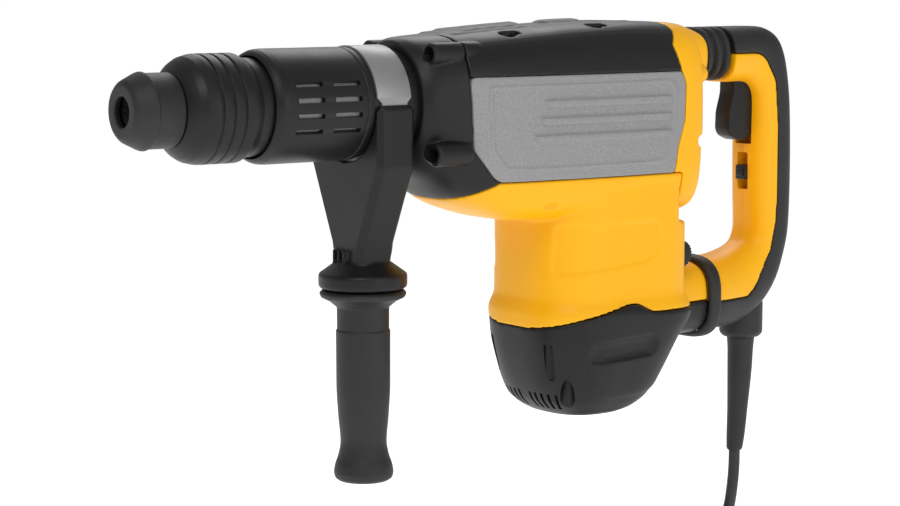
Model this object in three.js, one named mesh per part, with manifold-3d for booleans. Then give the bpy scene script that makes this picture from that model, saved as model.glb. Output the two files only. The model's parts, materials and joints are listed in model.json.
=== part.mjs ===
// A corded demolition hammer with an 18 mm slotted-shank tool holder, a clamped side handle, a sprung rear
// handle and an upright motor. Millimetres, +Z up. The spindle runs along X, with the nose at -X and the rear
// handle at +X; the origin is on the spindle axis, in the middle of the side handle's clamp.

import * as THREE from "three";
import { mergeVertices } from "three/addons/utils/BufferGeometryUtils.js";
import Module from "manifold-3d";

const wasm = await Module();
wasm.setup();

// ---------------------------------------------------------------- driving dimensions

const GAP = 0.3; // between pieces that touch
const WALL = 3.2; // casing walls

// Spindle line, from the nose back
const NOSE_X = -168; // front face of the dust cap
const NOSE_R = 16;
const CAP_RIM_X = -155;
const CAP_RIM_R = 23.4;
const CAP_R = 22.4;
const CAP_END_X = -137;
const BORE_R = 9.2; // takes the 18 mm shank
const SLEEVE_R = 33;
const SLEEVE_FULL_X = -116; // where the locking sleeve reaches its full radius
const SLEEVE_STEP_X = -95; // where its full radius ends
const SKIRT_R = 29.8; // the sleeve's tail, which slides into the shroud
const SKIRT_END_X = -76;
const SLEEVE_TRAVEL = 8; // pulled back to free the tool
const SLEEVE_BORE_R = 27;
const SLEEVE_WALL = 6; // behind the sleeve's front face
const GROOVES_X = [-118.3, -110.5, -102.7];
const HOLDER_R = 19; // tool holder under the sleeve
const HOLDER_NOSE_R = 15.1;
const HOLDER_END_X = -9;
const GUIDE_R = 13; // the bore that guides the striker
const SPRING_STOP_X = -98;
const SPRING_R = 23;
const SPRING_WIRE = 1.2;

const SHROUD_X = -82;
const SHROUD_R = 35;
const SHROUD_WALL = 3.6;
const SLOT_LENGTH = 19.5;
const SLOT_HEIGHT = 3;
const SLOT_PITCH = 27;
const SLOT_FIRST_X = -69;
const SLOT_ANGLES = [-24, -8, 8, 24];

const SEAT_R = 33.5; // clamp seat on the barrel
const SEAT_HALF = 13.5;
const BARREL_FRONT_X = SKIRT_END_X + SLEEVE_TRAVEL + 2;
const BARREL_END_X = 48;

// Side handle
const BAND_HALF = 12.4;
const BAND_WALL = 2;
const BAND_R = SEAT_R + GAP;
const BAND_OUT = BAND_R + BAND_WALL;
const BRACKET_HALF = 13.6; // half of its thickness along X
const BRACKET_TOP_Z = 1;
const BRACKET_ARM = 3.4;
const BRACKET_NECK_R = 15.5;
const BRACKET_BOTTOM_Z = -100;
const FLANGE_R = 27.9;
const FLANGE_HEIGHT = 9;
const GRIP_TOP_Z = BRACKET_BOTTOM_Z - 16.5;
const GRIP_R = 17.1;
const GRIP_END_R = 19;
const GRIP_END_Z = -238;
const BOLT_R = 4;
const BOLT_HEAD = 4;
const BOLT_HEAD_HALF = 6.5;
const BOLT_HEAD_Z = BAND_OUT * -1 - 6.2;
const LUG_HALF = 9.5;
const LUG_Z = BOLT_HEAD_Z - 5;
const BOLT_END_Z = -170;

// Main casing
const CASE_X = 20;
const CASE_HALF = 52;
const CASE_TOP = 48.5;
const CASE_BOTTOM = -79;
const CASE_END_X = 244;
const SPLIT_X = 50; // front case to covers
const PANEL_TOP = 16;
const PANEL_END_X = 221;
const PANEL_THICK = 5;
const RIB_RISE = 1.2; // the panels' ribs stand proud by this
const TOP_SCREW_X = [90, 160];
const TOP_SCREW_Y = 30;
const REAR_FOOT_Z = -84; // where the rear cover ends
const REAR_NOTCH_Z = -27;
const REAR_STEP_X = 238.5;
const SCREW_R = 2.4;
const SCREW_HEAD_R = 4.5;
const SCREW_HEAD = 4;
const SCREW_BOSS_R = 6;
// Bosses that the front case is screwed on by: side, height, ends and radius.
const BOSSES = {
  upper: { y: 34, z: 30.5, x0: 26.7, x1: 66, r: 7 },
  lower: { y: 43, z: -31, x0: 23.5, x1: 50, r: 7.5 },
};

const MOTOR_X = 172;
const MOTOR_HALF = 50;
const MOTOR_FRONT_X = 121;
const MOTOR_BACK_X = 236;
const MOTOR_LIP = 3.5;
const CAP_JOINT_Z = -145;
const CAP_BOTTOM_Z = -210;
const CAP_SCREW_HEAD_Z = -165;
const CAP_SCREW_Y = MOTOR_HALF - 17;
const CAP_SCREWS = [MOTOR_FRONT_X + 17, MOTOR_BACK_X - 28].flatMap((x) => [
  [x, -CAP_SCREW_Y],
  [x, CAP_SCREW_Y],
]);

// Rear handle
const LOBE_Z = 24; // centre height of the upper arm
const LOBE_HALF = 25;
const LOBE_RISE = 20;
const LOBE_END_X = 266;
const ARM_X = 291; // front of the handle's upper arm
const ARM_HALF = 19;
const ARM_RISE = 19;
const HANDLE_BACK_X = 356;
const HANDLE_TOP = 43;
const LOWER_Z = -141; // centre height of the lower arm, on the handle's pivot
const LOWER_RISE = 25;
const LOWER_HALF = 32;
const SOCKET_END_X = 262;
const RING_WIDTH = 7;
const PIVOT_X = 276;
const PIVOT_R = 4;
const TONGUE = { x0: 240, x1: 288, half: 10, rise: 9 };
const SWITCH = { x0: 302, x1: 333, z0: 14, z1: 22.5, half: 8.7 };
const TRIGGER_HALF = 7.6;
const SLIDER_X = 320;
const SLIDER_HALF = 5;

// Drive
const CRANK_X = 205;
const CRANK_THROW = 14;
const TEETH_MODULE = 1.2;
const PINION_TEETH = 8;
const CRANK_TEETH = 47;
const COUNTER_TEETH = 46;
const CYLINDER_R = 24; // outer radius of the tube that turns in the barrel
const CYLINDER_BORE_R = CYLINDER_R - 4;
const CYLINDER_END_X = 163;
const ROD_LENGTH = 62;
const WRIST_R = 3.5;
const CRANK_PIN_R = 4.5;
const SHAFT_R = 6;
const MOTOR_SHAFT_R = 4.4;
const BEVEL_X = 128; // where the two pitch cones meet
const BEVEL_Z = -(CYLINDER_R + 10);
const GEAR_Z = BEVEL_Z - 12;
const GEAR_THICK = 7;
const PLATE_TOP = GEAR_Z - 4.6;
const PLATE_BOTTOM = PLATE_TOP - 7.4;
const PANEL_BOTTOM = PLATE_TOP + 0.6; // the panels and the crank case end at the gear plate
const DRIVE_X0 = 104; // front of the room for the gears
const PINION_R = (TEETH_MODULE * PINION_TEETH) / 2;
const CRANK_R = (TEETH_MODULE * CRANK_TEETH) / 2;
const COUNTER_R = (TEETH_MODULE * COUNTER_TEETH) / 2;
const COUNTER_X = MOTOR_X - PINION_R - COUNTER_R;
const FAN_Z = PLATE_BOTTOM - 14.5;
const FAN_R = MOTOR_HALF - 10;
const STATOR = { z0: -122, z1: FAN_Z - 3.5, outer: MOTOR_HALF - 6, inner: 28 };
const BRUSH_Z = -131;
const BRUSH_HALF = 3.2;
const COMMUTATOR_R = 14;

// Controls
const SELECTOR_X = 200;
const SELECTOR_R = 15;
const SELECTOR_POST_R = 4;
const SELECTOR_FLOOR = CASE_TOP - 8;
const DIAL_R = 9;
const DIAL_X = MOTOR_BACK_X + 4.5 - DIAL_R; // the wheel's rim shows behind the housing
const DIAL_Y = 34;
const DIAL_HALF = 4;
const DIAL_Z = -107;

// Cord
const CORD_R = 4;
const BOOT_X = 321;
const BOOT_TOP_Z = -175;
const BOOT_END_Z = -256;
const BOOT_TOP_R = 9.7;
const BOOT_END_R = 5.6;
const FLOOR_Z = -361;
const COIL = { x: 270, y: 56, inner: 35.5, outer: 60.5, top: -329 };
const PLUG_HALF = 9;

const FAR = 400; // past every piece

// ---------------------------------------------------------------- shape helpers

const { PI, cos, sin, abs, hypot } = Math;
const rad = (degrees) => (degrees * PI) / 180;

// A closed three.js geometry as a manifold-3d solid, for cutting and joining.
function solid(geometry) {
  const bare = geometry.index ? geometry.toNonIndexed() : geometry.clone();
  for (const name of Object.keys(bare.attributes)) {
    if (name !== "position") bare.deleteAttribute(name);
  }
  const merged = mergeVertices(bare, 1e-3);
  const mesh = new wasm.Mesh({
    numProp: 3,
    vertProperties: merged.attributes.position.array,
    triVerts: new Uint32Array(merged.index.array),
  });
  return new wasm.Manifold(mesh);
}

function geometryOf(shape) {
  const mesh = shape.getMesh();
  return new THREE.BufferGeometry()
    .setAttribute("position", new THREE.BufferAttribute(mesh.vertProperties, 3))
    .setIndex(new THREE.BufferAttribute(mesh.triVerts, 1));
}

// A profile of [along, radius] pairs turned about an axis. It is solid if it starts and ends on the axis.
function turned(profile, { axis = "x", at = [0, 0, 0], segments = 24 } = {}) {
  const build = (pairs) => {
    const points = pairs.map(([along, radius]) => new THREE.Vector2(radius, along));
    const g = new THREE.LatheGeometry(points, segments);
    if (axis === "x") g.rotateZ(-PI / 2);
    if (axis === "z") g.rotateX(PI / 2);
    return solid(g.translate(...at));
  };
  const made = build(profile);
  return made.volume() > 0 ? made : build([...profile].reverse());
}

// A ring or tube between two radii.
function tube(x0, x1, outer, inner, options) {
  return turned([[x0, inner], [x0, outer], [x1, outer], [x1, inner], [x0, inner]], options);
}

function rod(x0, x1, radius, options) {
  return turned([[x0, 0], [x0, radius], [x1, radius], [x1, 0]], options);
}

function box(x0, x1, y0, y1, z0, z1) {
  const g = new THREE.BoxGeometry(x1 - x0, y1 - y0, z1 - z0);
  return solid(g.translate((x0 + x1) / 2, (y0 + y1) / 2, (z0 + z1) / 2));
}

// A closed skin through rings of points that all have the same count, capped at both ends.
function loft(rings) {
  const count = rings[0].length;
  const points = rings.flat();
  const faces = [];
  rings.slice(1).forEach((_, ring) => {
    for (let i = 0; i < count; i++) {
      const j = (i + 1) % count;
      const a = ring * count + i;
      const b = ring * count + j;
      faces.push([a, b, b + count], [a, b + count, a + count]);
    }
  });
  const cap = (ring, flip) => {
    const middle = ring.reduce((sum, p) => sum.add(p), new THREE.Vector3()).divideScalar(count);
    const centre = points.push(middle) - 1;
    const first = rings.indexOf(ring) * count;
    for (let i = 0; i < count; i++) {
      const j = (i + 1) % count;
      faces.push(flip ? [centre, first + j, first + i] : [centre, first + i, first + j]);
    }
  };
  cap(rings[0], true);
  cap(rings.at(-1), false);
  const build = (list) =>
    solid(new THREE.BufferGeometry().setFromPoints(points).setIndex(list.flat()));
  const made = build(faces);
  return made.volume() > 0 ? made : build(faces.map(([a, b, c]) => [a, c, b]));
}

// Half an egg-shaped section: `power` 2 is an ellipse and higher is boxier.
function oval(count, half, up, down, powerUp, powerDown = powerUp) {
  return Array.from({ length: count }, (_, i) => {
    const angle = (2 * PI * (i + 0.5)) / count;
    const [c, s] = [cos(angle), sin(angle)];
    const power = s > 0 ? powerUp : powerDown;
    const reach = (abs(c) ** power + abs(s) ** power) ** (-1 / power);
    return [half * reach * c, (s > 0 ? up : down) * reach * s];
  });
}

// A skin along X. Each station: x, half width, top z, bottom z, centre z, upper power, lower power.
function skinAlongX(stations, count = 20) {
  return loft(
    stations.map(({ x, half, top, bottom, middle, up = 2, down = up, lean = 0 }) =>
      oval(count, half, top - middle, middle - bottom, up, down).map(
        ([y, z]) => new THREE.Vector3(x + lean * z, y, middle + z),
      ),
    ),
  );
}

// A skin along Z. Each station: z, x centre, half length, half width, power.
function skinAlongZ(stations, count = 20) {
  return loft(
    stations.map(({ z, x, long, half, power = 2 }) =>
      oval(count, long, half, half, power).map(([dx, y]) => new THREE.Vector3(x + dx, y, z)),
    ),
  );
}

// A flat outline in the X-Z plane, given thickness along Y, with rounded edges if bevel is over 0.
function plate(outline, y0, y1, bevel = 0) {
  const shape = new THREE.Shape(outline.map(([x, z]) => new THREE.Vector2(x, z)));
  return platedShape(shape, y0, y1, bevel);
}

function platedShape(shape, y0, y1, bevel = 0) {
  const g = new THREE.ExtrudeGeometry(shape, {
    depth: y1 - y0 - 2 * bevel,
    bevelEnabled: bevel > 0,
    bevelThickness: bevel,
    bevelSize: bevel,
    bevelOffset: -bevel,
    bevelSegments: 2,
    curveSegments: 8,
  });
  return solid(g.rotateX(PI / 2).translate(0, y1 - bevel, 0));
}

function joined(...shapes) {
  return shapes.reduce((sum, shape) => sum.add(shape));
}

function mirroredY(shape) {
  return shape.mirror([0, 1, 0]);
}

// A shape drawn on the +Y side, put on either side.
function onSide(side, shape) {
  return side > 0 ? shape : mirroredY(shape);
}

// ---------------------------------------------------------------- the assembly

const hammer = new THREE.Group();
hammer.name = "demolition_hammer";

const FINISHES = {
  black_plastic: { color: 0x232324, roughness: 0.5, metalness: 0 },
  black_rubber: { color: 0x1c1c1d, roughness: 0.8, metalness: 0 },
  yellow_plastic: { color: 0xf7a900, roughness: 0.4, metalness: 0 },
  grey_casting: { color: 0x8b8c8e, roughness: 0.6, metalness: 0.3 },
  band_steel: { color: 0x838587, roughness: 0.45, metalness: 0.6 },
  bright_steel: { color: 0xb4b5b8, roughness: 0.3, metalness: 0.9 },
  dark_steel: { color: 0x4b4c50, roughness: 0.45, metalness: 0.8 },
  copper: { color: 0xa35a35, roughness: 0.4, metalness: 0.9 },
  brass: { color: 0xc0a050, roughness: 0.35, metalness: 0.9 },
};

function add(name, shape, finish) {
  const mesh = new THREE.Mesh(geometryOf(shape), new THREE.MeshStandardMaterial(FINISHES[finish]));
  mesh.name = name;
  hammer.add(mesh);
  return shape;
}

// ---------------------------------------------------------------- nose and spindle

function dustCap() {
  const lip = 2.5;
  const cavity = HOLDER_NOSE_R + GAP;
  return turned([
    [NOSE_X, BORE_R],
    [NOSE_X, NOSE_R],
    [NOSE_X + 2.2, NOSE_R + 2.6],
    [CAP_RIM_X - 2, CAP_RIM_R - 0.6],
    [CAP_RIM_X, CAP_RIM_R],
    [CAP_RIM_X + 0.6, CAP_R],
    [CAP_END_X, CAP_R],
    [CAP_END_X, cavity],
    [NOSE_X + 2 * lip, cavity],
    [NOSE_X + 2 * lip, BORE_R + 2],
    [NOSE_X + lip, BORE_R],
    [NOSE_X, BORE_R],
  ]);
}

function lockingSleeve() {
  const front = CAP_END_X + GAP;
  const groove = (x) => [[x - 0.9, SLEEVE_R], [x, SLEEVE_R - 1.1], [x + 0.9, SLEEVE_R]];
  return turned([
    [front, HOLDER_R + GAP],
    [front, CAP_R - 0.4],
    [front + 5.5, 29],
    [front + 9.5, 31.4],
    [SLEEVE_FULL_X - 4, 32.6],
    ...groove(GROOVES_X[0]).map(([x, r]) => [x, r - 0.2]),
    [SLEEVE_FULL_X, SLEEVE_R],
    ...groove(GROOVES_X[1]),
    ...groove(GROOVES_X[2]),
    [SLEEVE_STEP_X, SLEEVE_R],
    [SLEEVE_STEP_X + 6, SKIRT_R],
    [SKIRT_END_X, SKIRT_R],
    [SKIRT_END_X, SLEEVE_BORE_R],
    [front + SLEEVE_WALL, SLEEVE_BORE_R],
    [front + SLEEVE_WALL, HOLDER_R + GAP],
    [front, HOLDER_R + GAP],
  ]);
}

function toolHolder() {
  const collar = 3;
  const collarR = SLEEVE_BORE_R - 2 * GAP;
  const bufferR = GUIDE_R + 5;
  const bufferX = HOLDER_END_X - 12;
  const guideX = SPRING_STOP_X + collar;
  return turned(
    [
      [NOSE_X + 6, BORE_R],
      [NOSE_X + 6, HOLDER_NOSE_R - 1.5],
      [NOSE_X + 9, HOLDER_NOSE_R],
      [CAP_END_X + GAP, HOLDER_NOSE_R],
      [CAP_END_X + GAP, HOLDER_R],
      [SPRING_STOP_X, HOLDER_R],
      [SPRING_STOP_X, collarR],
      [SPRING_STOP_X + collar, collarR],
      [SPRING_STOP_X + collar, SLEEVE_BORE_R - 3],
      [BARREL_FRONT_X - 2, SLEEVE_BORE_R - 3],
      [BARREL_FRONT_X, CYLINDER_R],
      [HOLDER_END_X, CYLINDER_R],
      [HOLDER_END_X, bufferR],
      [bufferX, bufferR],
      [bufferX, GUIDE_R],
      [guideX, GUIDE_R],
      [guideX, BORE_R],
      [NOSE_X + 6, BORE_R],
    ],
    { segments: 26 },
  );
}

class SpringCurve extends THREE.Curve {
  constructor(radius, x0, x1, turns) {
    super();
    Object.assign(this, { radius, x0, x1, turns });
  }
  getPoint(t, target = new THREE.Vector3()) {
    const angle = 2 * PI * this.turns * t;
    return target.set(
      this.x0 + (this.x1 - this.x0) * t,
      this.radius * cos(angle),
      this.radius * sin(angle),
    );
  }
}

function coilSpring(radius, wire, x0, x1, turns) {
  const section = new THREE.Shape();
  section.absarc(0, 0, wire, 0, 2 * PI);
  const path = new SpringCurve(radius, x0 + wire, x1 - wire, turns);
  const g = new THREE.ExtrudeGeometry(section, {
    steps: turns * 10,
    extrudePath: path,
    curveSegments: 2,
  });
  return solid(g);
}

function spindleParts() {
  add("dust_cap", dustCap(), "black_rubber");
  add("locking_sleeve", lockingSleeve(), "black_plastic");
  add("tool_holder", toolHolder(), "bright_steel");
  const springFront = CAP_END_X + GAP + SLEEVE_WALL + 0.5;
  const spring = coilSpring(SPRING_R, SPRING_WIRE, springFront, SPRING_STOP_X - 0.5, 4);
  add("sleeve_spring", spring, "bright_steel");
  add(
    "beat_piece",
    turned([
      [-62, 0],
      [-62, GUIDE_R - 5],
      [-56, GUIDE_R - GAP],
      [HOLDER_END_X - 10, GUIDE_R - GAP],
      [HOLDER_END_X - 10, GUIDE_R + 3.5],
      [HOLDER_END_X, GUIDE_R + 3.5],
      [HOLDER_END_X, GUIDE_R - 1],
      [20, GUIDE_R - 1],
      [20, 0],
    ], { segments: 18 }),
    "dark_steel",
  );
  add("ram", rod(45, 80, CYLINDER_BORE_R - GAP, { segments: 18 }), "dark_steel");
}

// ---------------------------------------------------------------- barrel and side handle

function barrelTube() {
  const bore = CYLINDER_R + GAP;
  const underShroud = SHROUD_R - SHROUD_WALL - GAP;
  return turned([
    [BARREL_FRONT_X, bore],
    [BARREL_FRONT_X, underShroud],
    [-SEAT_HALF, underShroud],
    [-SEAT_HALF, SEAT_R],
    [BARREL_END_X, SEAT_R],
    [BARREL_END_X, bore],
    [BARREL_FRONT_X, bore],
  ]);
}

function barrelShroud() {
  const inner = SHROUD_R - SHROUD_WALL;
  const mouth = SKIRT_R + 1.2;
  const back = -SEAT_HALF - GAP;
  const body = turned([
    [SHROUD_X, mouth],
    [SHROUD_X, mouth + 1],
    [SHROUD_X + 8.5, SHROUD_R],
    [back, SHROUD_R],
    [back, inner],
    [SHROUD_X + 3, inner],
    [SHROUD_X, mouth],
  ], { segments: 26 });
  const slots = [];
  for (const side of [0, 180]) {
    for (const column of [0, 1]) {
      for (const angle of SLOT_ANGLES) {
        const x = SLOT_FIRST_X + column * SLOT_PITCH;
        const half = SLOT_HEIGHT / 2;
        const slot = box(x, x + SLOT_LENGTH, inner - 4, SHROUD_R + 4, -half, half);
        slots.push(slot.rotate([angle + side, 0, 0]));
      }
    }
  }
  return slots.reduce((left, slot) => left.subtract(slot), body);
}

// The steel band: a ring round the barrel with a lug below it that the bolt pulls on.
function clampBand() {
  const ring = tube(-BAND_HALF, BAND_HALF, BAND_OUT, BAND_R, { segments: 30 });
  const lug = box(-LUG_HALF, LUG_HALF, -LUG_HALF, LUG_HALF, LUG_Z, -BAND_R - 1);
  const hole = rod(LUG_Z - 1, -BAND_R + 1, BOLT_R + GAP, { axis: "z", segments: 14 });
  const headHalf = BOLT_HEAD_HALF + GAP;
  const headRoom = box(-headHalf, headHalf, -40, 40, BOLT_HEAD_Z - GAP, -BAND_R - 1);
  const barrel = rod(-60, 60, BAND_R, { segments: 30 });
  return joined(ring, lug).subtract(joined(hole, headRoom.subtract(ring), barrel));
}

// The moulded saddle: a tapering block under the barrel, cut for the band, the barrel and the bolt.
function clampBracket() {
  const top = BAND_OUT + GAP + BRACKET_ARM;
  const neck = BRACKET_NECK_R;
  const front = new THREE.Shape();
  front.moveTo(-top, BRACKET_TOP_Z);
  front.lineTo(-top, -38);
  front.lineTo(-neck - 1.5, BRACKET_BOTTOM_Z + 12);
  front.lineTo(-neck, BRACKET_BOTTOM_Z);
  front.lineTo(neck, BRACKET_BOTTOM_Z);
  front.lineTo(neck + 1.5, BRACKET_BOTTOM_Z + 12);
  front.lineTo(top, -38);
  front.lineTo(top, BRACKET_TOP_Z);
  const slab = platedShape(front, -BRACKET_HALF, BRACKET_HALF, 2.5).rotate([0, 0, 90]);
  const ring = rod(-60, 60, BAND_OUT + GAP, { segments: 30 });
  const lugHalf = LUG_HALF + GAP;
  const lugRoom = box(-lugHalf, lugHalf, -lugHalf, lugHalf, LUG_Z - GAP, 0);
  const neckRound = skinAlongZ([
    { z: BRACKET_BOTTOM_Z - 1, x: 0, long: neck, half: neck + 2 },
    { z: BRACKET_BOTTOM_Z + 14, x: 0, long: neck, half: neck + 6, power: 3 },
    { z: -60, x: 0, long: BRACKET_HALF + 2, half: 60, power: 6 },
    { z: 20, x: 0, long: BRACKET_HALF + 2, half: 80, power: 8 },
  ]);
  const flangeTop = BRACKET_BOTTOM_Z - 6.5;
  const flange = turned(
    [
      [BRACKET_BOTTOM_Z + 1, 0],
      [BRACKET_BOTTOM_Z + 1, neck + 0.5],
      [flangeTop, FLANGE_R],
      [flangeTop - FLANGE_HEIGHT + 1.5, FLANGE_R],
      [flangeTop - FLANGE_HEIGHT, FLANGE_R - 1.5],
      [flangeTop - FLANGE_HEIGHT, 0],
    ],
    { axis: "z", segments: 22 },
  );
  const boltHole = rod(-140, -20, BOLT_R + 1, { axis: "z", segments: 14 });
  return slab.intersect(neckRound).add(flange).subtract(joined(ring, lugRoom, boltHole));
}

function sideHandleParts() {
  add("barrel_tube", barrelTube(), "grey_casting");
  add("barrel_shroud", barrelShroud(), "black_plastic");
  add("clamp_bracket", clampBracket(), "black_plastic");
  add("clamp_band", clampBand(), "band_steel");

  const half = BOLT_HEAD_HALF;
  const head = box(-half, half, -half, half, BOLT_HEAD_Z, BOLT_HEAD_Z + BOLT_HEAD);
  const bolt = joined(rod(BOLT_END_Z, BOLT_HEAD_Z + 1, BOLT_R, { axis: "z", segments: 14 }), head);
  add("clamp_bolt", bolt, "bright_steel");
  add("side_grip", sideGrip(), "black_rubber");
}

function sideGrip() {
  const z = GRIP_TOP_Z;
  const outer = turned(
    [
      [z, 0],
      [z, FLANGE_R - 2.5],
      [z - 2, FLANGE_R - 0.5],
      [z - 4.5, FLANGE_R - 1.4],
      [z - 7, GRIP_R + 4.3],
      [z - 11, GRIP_R - 0.6],
      [z - 25, GRIP_R - 0.7],
      [z - 25.8, GRIP_R],
      [z - 60, GRIP_R - 0.1],
      [z - 80, GRIP_R - 1.2],
      [z - 96.5, GRIP_R - 2.5],
      [z - 104.5, GRIP_R - 1.2],
      [z - 111.5, GRIP_END_R - 0.8],
      [GRIP_END_Z + 5, GRIP_END_R],
      [GRIP_END_Z + 2.4, GRIP_END_R - 0.8],
      [GRIP_END_Z + 0.6, GRIP_END_R - 3],
      [GRIP_END_Z, GRIP_END_R - 6.5],
      [GRIP_END_Z, 0],
    ],
    { axis: "z", segments: 26 },
  );
  const boltRoom = rod(BOLT_END_Z - 5, z + 5, BOLT_R + GAP, { axis: "z", segments: 14 });
  return outer.subtract(boltRoom);
}

// ---------------------------------------------------------------- casing

// Stations of the upper casing's skin along X. `middle` is the height at which it is widest.
const BODY = [
  { x: CASE_X, half: CASE_HALF - 14.4, top: 37.8, bottom: -38, middle: 0, up: 2 },
  { x: CASE_X + 6, half: CASE_HALF - 11, top: 40.2, bottom: -44, middle: 0, up: 2.2 },
  { x: CASE_X + 17, half: CASE_HALF - 8, top: 41, bottom: -51.5, middle: -2, up: 2.6 },
  { x: SPLIT_X, half: CASE_HALF - 5, top: 41.7, bottom: -62.5, middle: -5, up: 3 },
  { x: SPLIT_X + 20, half: CASE_HALF - 2, top: 42.8, bottom: -71, middle: -10, up: 3.6 },
  { x: SPLIT_X + 50, half: CASE_HALF, top: 44.8, bottom: CASE_BOTTOM + 1, middle: -14, up: 4 },
  { x: SPLIT_X + 105, half: CASE_HALF + 0.5, top: 47.6, bottom: CASE_BOTTOM, middle: -16, up: 4.4 },
  { x: SPLIT_X + 140, half: CASE_HALF, top: CASE_TOP, bottom: CASE_BOTTOM, middle: -16, up: 4.4 },
  { x: CASE_END_X - 18, half: CASE_HALF - 1, top: CASE_TOP - 1, bottom: CASE_BOTTOM, middle: -16, up: 4.4 },
  { x: CASE_END_X - 6, half: CASE_HALF - 3.5, top: CASE_TOP - 2, bottom: CASE_BOTTOM, middle: -16, up: 4 },
  { x: CASE_END_X, half: CASE_HALF - 9, top: CASE_TOP - 5, bottom: CASE_BOTTOM, middle: -16, up: 3.4 },
];

function bodySkin(inset) {
  const shrunk = BODY.map((s) => ({
    ...s,
    half: s.half - inset,
    top: s.top - inset,
    bottom: s.bottom + inset,
  }));
  shrunk[0].x += inset > 0 ? 0 : inset;
  shrunk.at(-1).x -= inset;
  shrunk.at(-2).x -= inset;
  return skinAlongX(shrunk, 24);
}

const outer = bodySkin(0);
const underPanel = bodySkin(PANEL_THICK);
const inner = bodySkin(PANEL_THICK + WALL);

// The line between the front casting and everything behind it, from top to bottom.
const frontLine = (shift) => [
  [SPLIT_X + shift, 80],
  [SPLIT_X + shift, PANEL_TOP - 6],
  [SPLIT_X + 2 + shift, -29],
  [SPLIT_X + 20 + shift, PANEL_BOTTOM],
  [SPLIT_X + shift, PANEL_BOTTOM - 11.5],
  [SPLIT_X - 4 + shift, -90],
];

function frontCase() {
  const region = plate([[0, 80], ...frontLine(-GAP), [0, -90]], -FAR, FAR);
  const onBosses = (make) =>
    Object.values(BOSSES).flatMap((boss) => [make(boss, boss.y), make(boss, -boss.y)]);
  const bosses = onBosses(({ z, x0, x1, r }, y) => rod(x0, x1, r, { at: [0, y, z], segments: 14 }));
  const holes = onBosses(({ z, x0 }, y) =>
    rod(x0 - 1, x0 + 16, SCREW_HEAD_R + GAP, { at: [0, y, z], segments: 12 }),
  );
  const seat = rod(0, BARREL_END_X + GAP, SEAT_R + GAP, { segments: 26 });
  const bore = rod(0, 90, CYLINDER_R + GAP, { segments: 26 });
  return joined(outer, ...bosses).intersect(region).subtract(joined(seat, bore, ...holes));
}

function behindFront(x1, z0, z1) {
  const line = frontLine(0);
  const kept = line.filter(([, z]) => z > z0 && z < z1);
  const atZ = (z) => {
    for (let i = 1; i < line.length; i++) {
      const [[xa, za], [xb, zb]] = [line[i - 1], line[i]];
      if (z <= za && z >= zb) return xa + ((xb - xa) * (za - z)) / (za - zb);
    }
    return line.at(-1)[0];
  };
  return plate([[atZ(z1), z1], ...kept, [atZ(z0), z0], [x1, z0], [x1, z1]], -FAR, FAR);
}

// The cast frame that the panels and covers hide: two bulkheads that carry the hammer tube, and side walls.
function crankCase() {
  const region = behindFront(PANEL_END_X - GAP, PANEL_BOTTOM + GAP, PANEL_TOP - GAP);
  const room = box(DRIVE_X0, CYLINDER_END_X - 12, -FAR, FAR, -FAR, FAR);
  const rear = box(CYLINDER_END_X, FAR, -FAR, FAR, -FAR, FAR);
  const gearRoom = box(DRIVE_X0, FAR, -FAR, FAR, -FAR, -CYLINDER_R - 6);
  const bore = rod(0, FAR, CYLINDER_R + GAP, { segments: 26 });
  const hollow = inner.intersect(joined(room, rear, gearRoom));
  return underPanel.intersect(region).subtract(hollow).subtract(bore);
}

function topCover() {
  const region = behindFront(PANEL_END_X - GAP, PANEL_TOP, 80);
  const room = bodySkin(WALL).subtract(box(-FAR, SPLIT_X + 6, -FAR, FAR, -FAR, FAR));
  const proud = bodySkin(-1.6);
  const ribs = [-8, -4, 0, 4, 8].map((y) => box(66, 118, y - 1, y + 1, 0, FAR).intersect(proud));
  const atScrews = (z0, z1, r) =>
    TOP_SCREW_X.flatMap((x) =>
      [-TOP_SCREW_Y, TOP_SCREW_Y].map((y) => rod(z0, z1, r, { axis: "z", at: [x, y, 0], segments: 12 })),
    );
  const posts = atScrews(PANEL_TOP, CASE_TOP - 2, SCREW_HEAD_R + 3).map((post) => post.intersect(outer));
  const pockets = atScrews(CASE_TOP - 18, 80, SCREW_HEAD_R + 1);
  const onSelector = (long, half, z0, z1) =>
    box(SELECTOR_X - long, SELECTOR_X + long, -half, half, z0, z1);
  const floor = onSelector(27, 22, SELECTOR_FLOOR - 4, CASE_TOP).intersect(outer);
  const recess = onSelector(24, 19, SELECTOR_FLOOR, 80);
  const bore = rod(0, FAR, CYLINDER_R + 2, { segments: 26 });
  const post = rod(0, 80, SELECTOR_POST_R + GAP, { axis: "z", at: [SELECTOR_X, 0, 0], segments: 12 });
  return joined(outer.subtract(room), ...posts, ...ribs.map((rib) => rib.subtract(room)))
    .subtract(joined(...pockets))
    .add(floor)
    .intersect(region)
    .subtract(joined(recess, bore, post));
}

function sidePanel(side) {
  const region = behindFront(PANEL_END_X - GAP, PANEL_BOTTOM + GAP, PANEL_TOP - GAP);
  const kept = onSide(side, box(-FAR, FAR, 20, FAR, -FAR, FAR));
  const back = bodySkin(PANEL_THICK - GAP);
  const proud = bodySkin(-RIB_RISE);
  const ribs = [0, 1, 2].map((i) => {
    const z = -2 - 11 * i;
    return box(105 - 4 * i, 208, -FAR, FAR, z - 2.4, z + 2.4).intersect(proud);
  });
  return joined(outer, ...ribs).subtract(back).intersect(region).intersect(kept);
}

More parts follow.
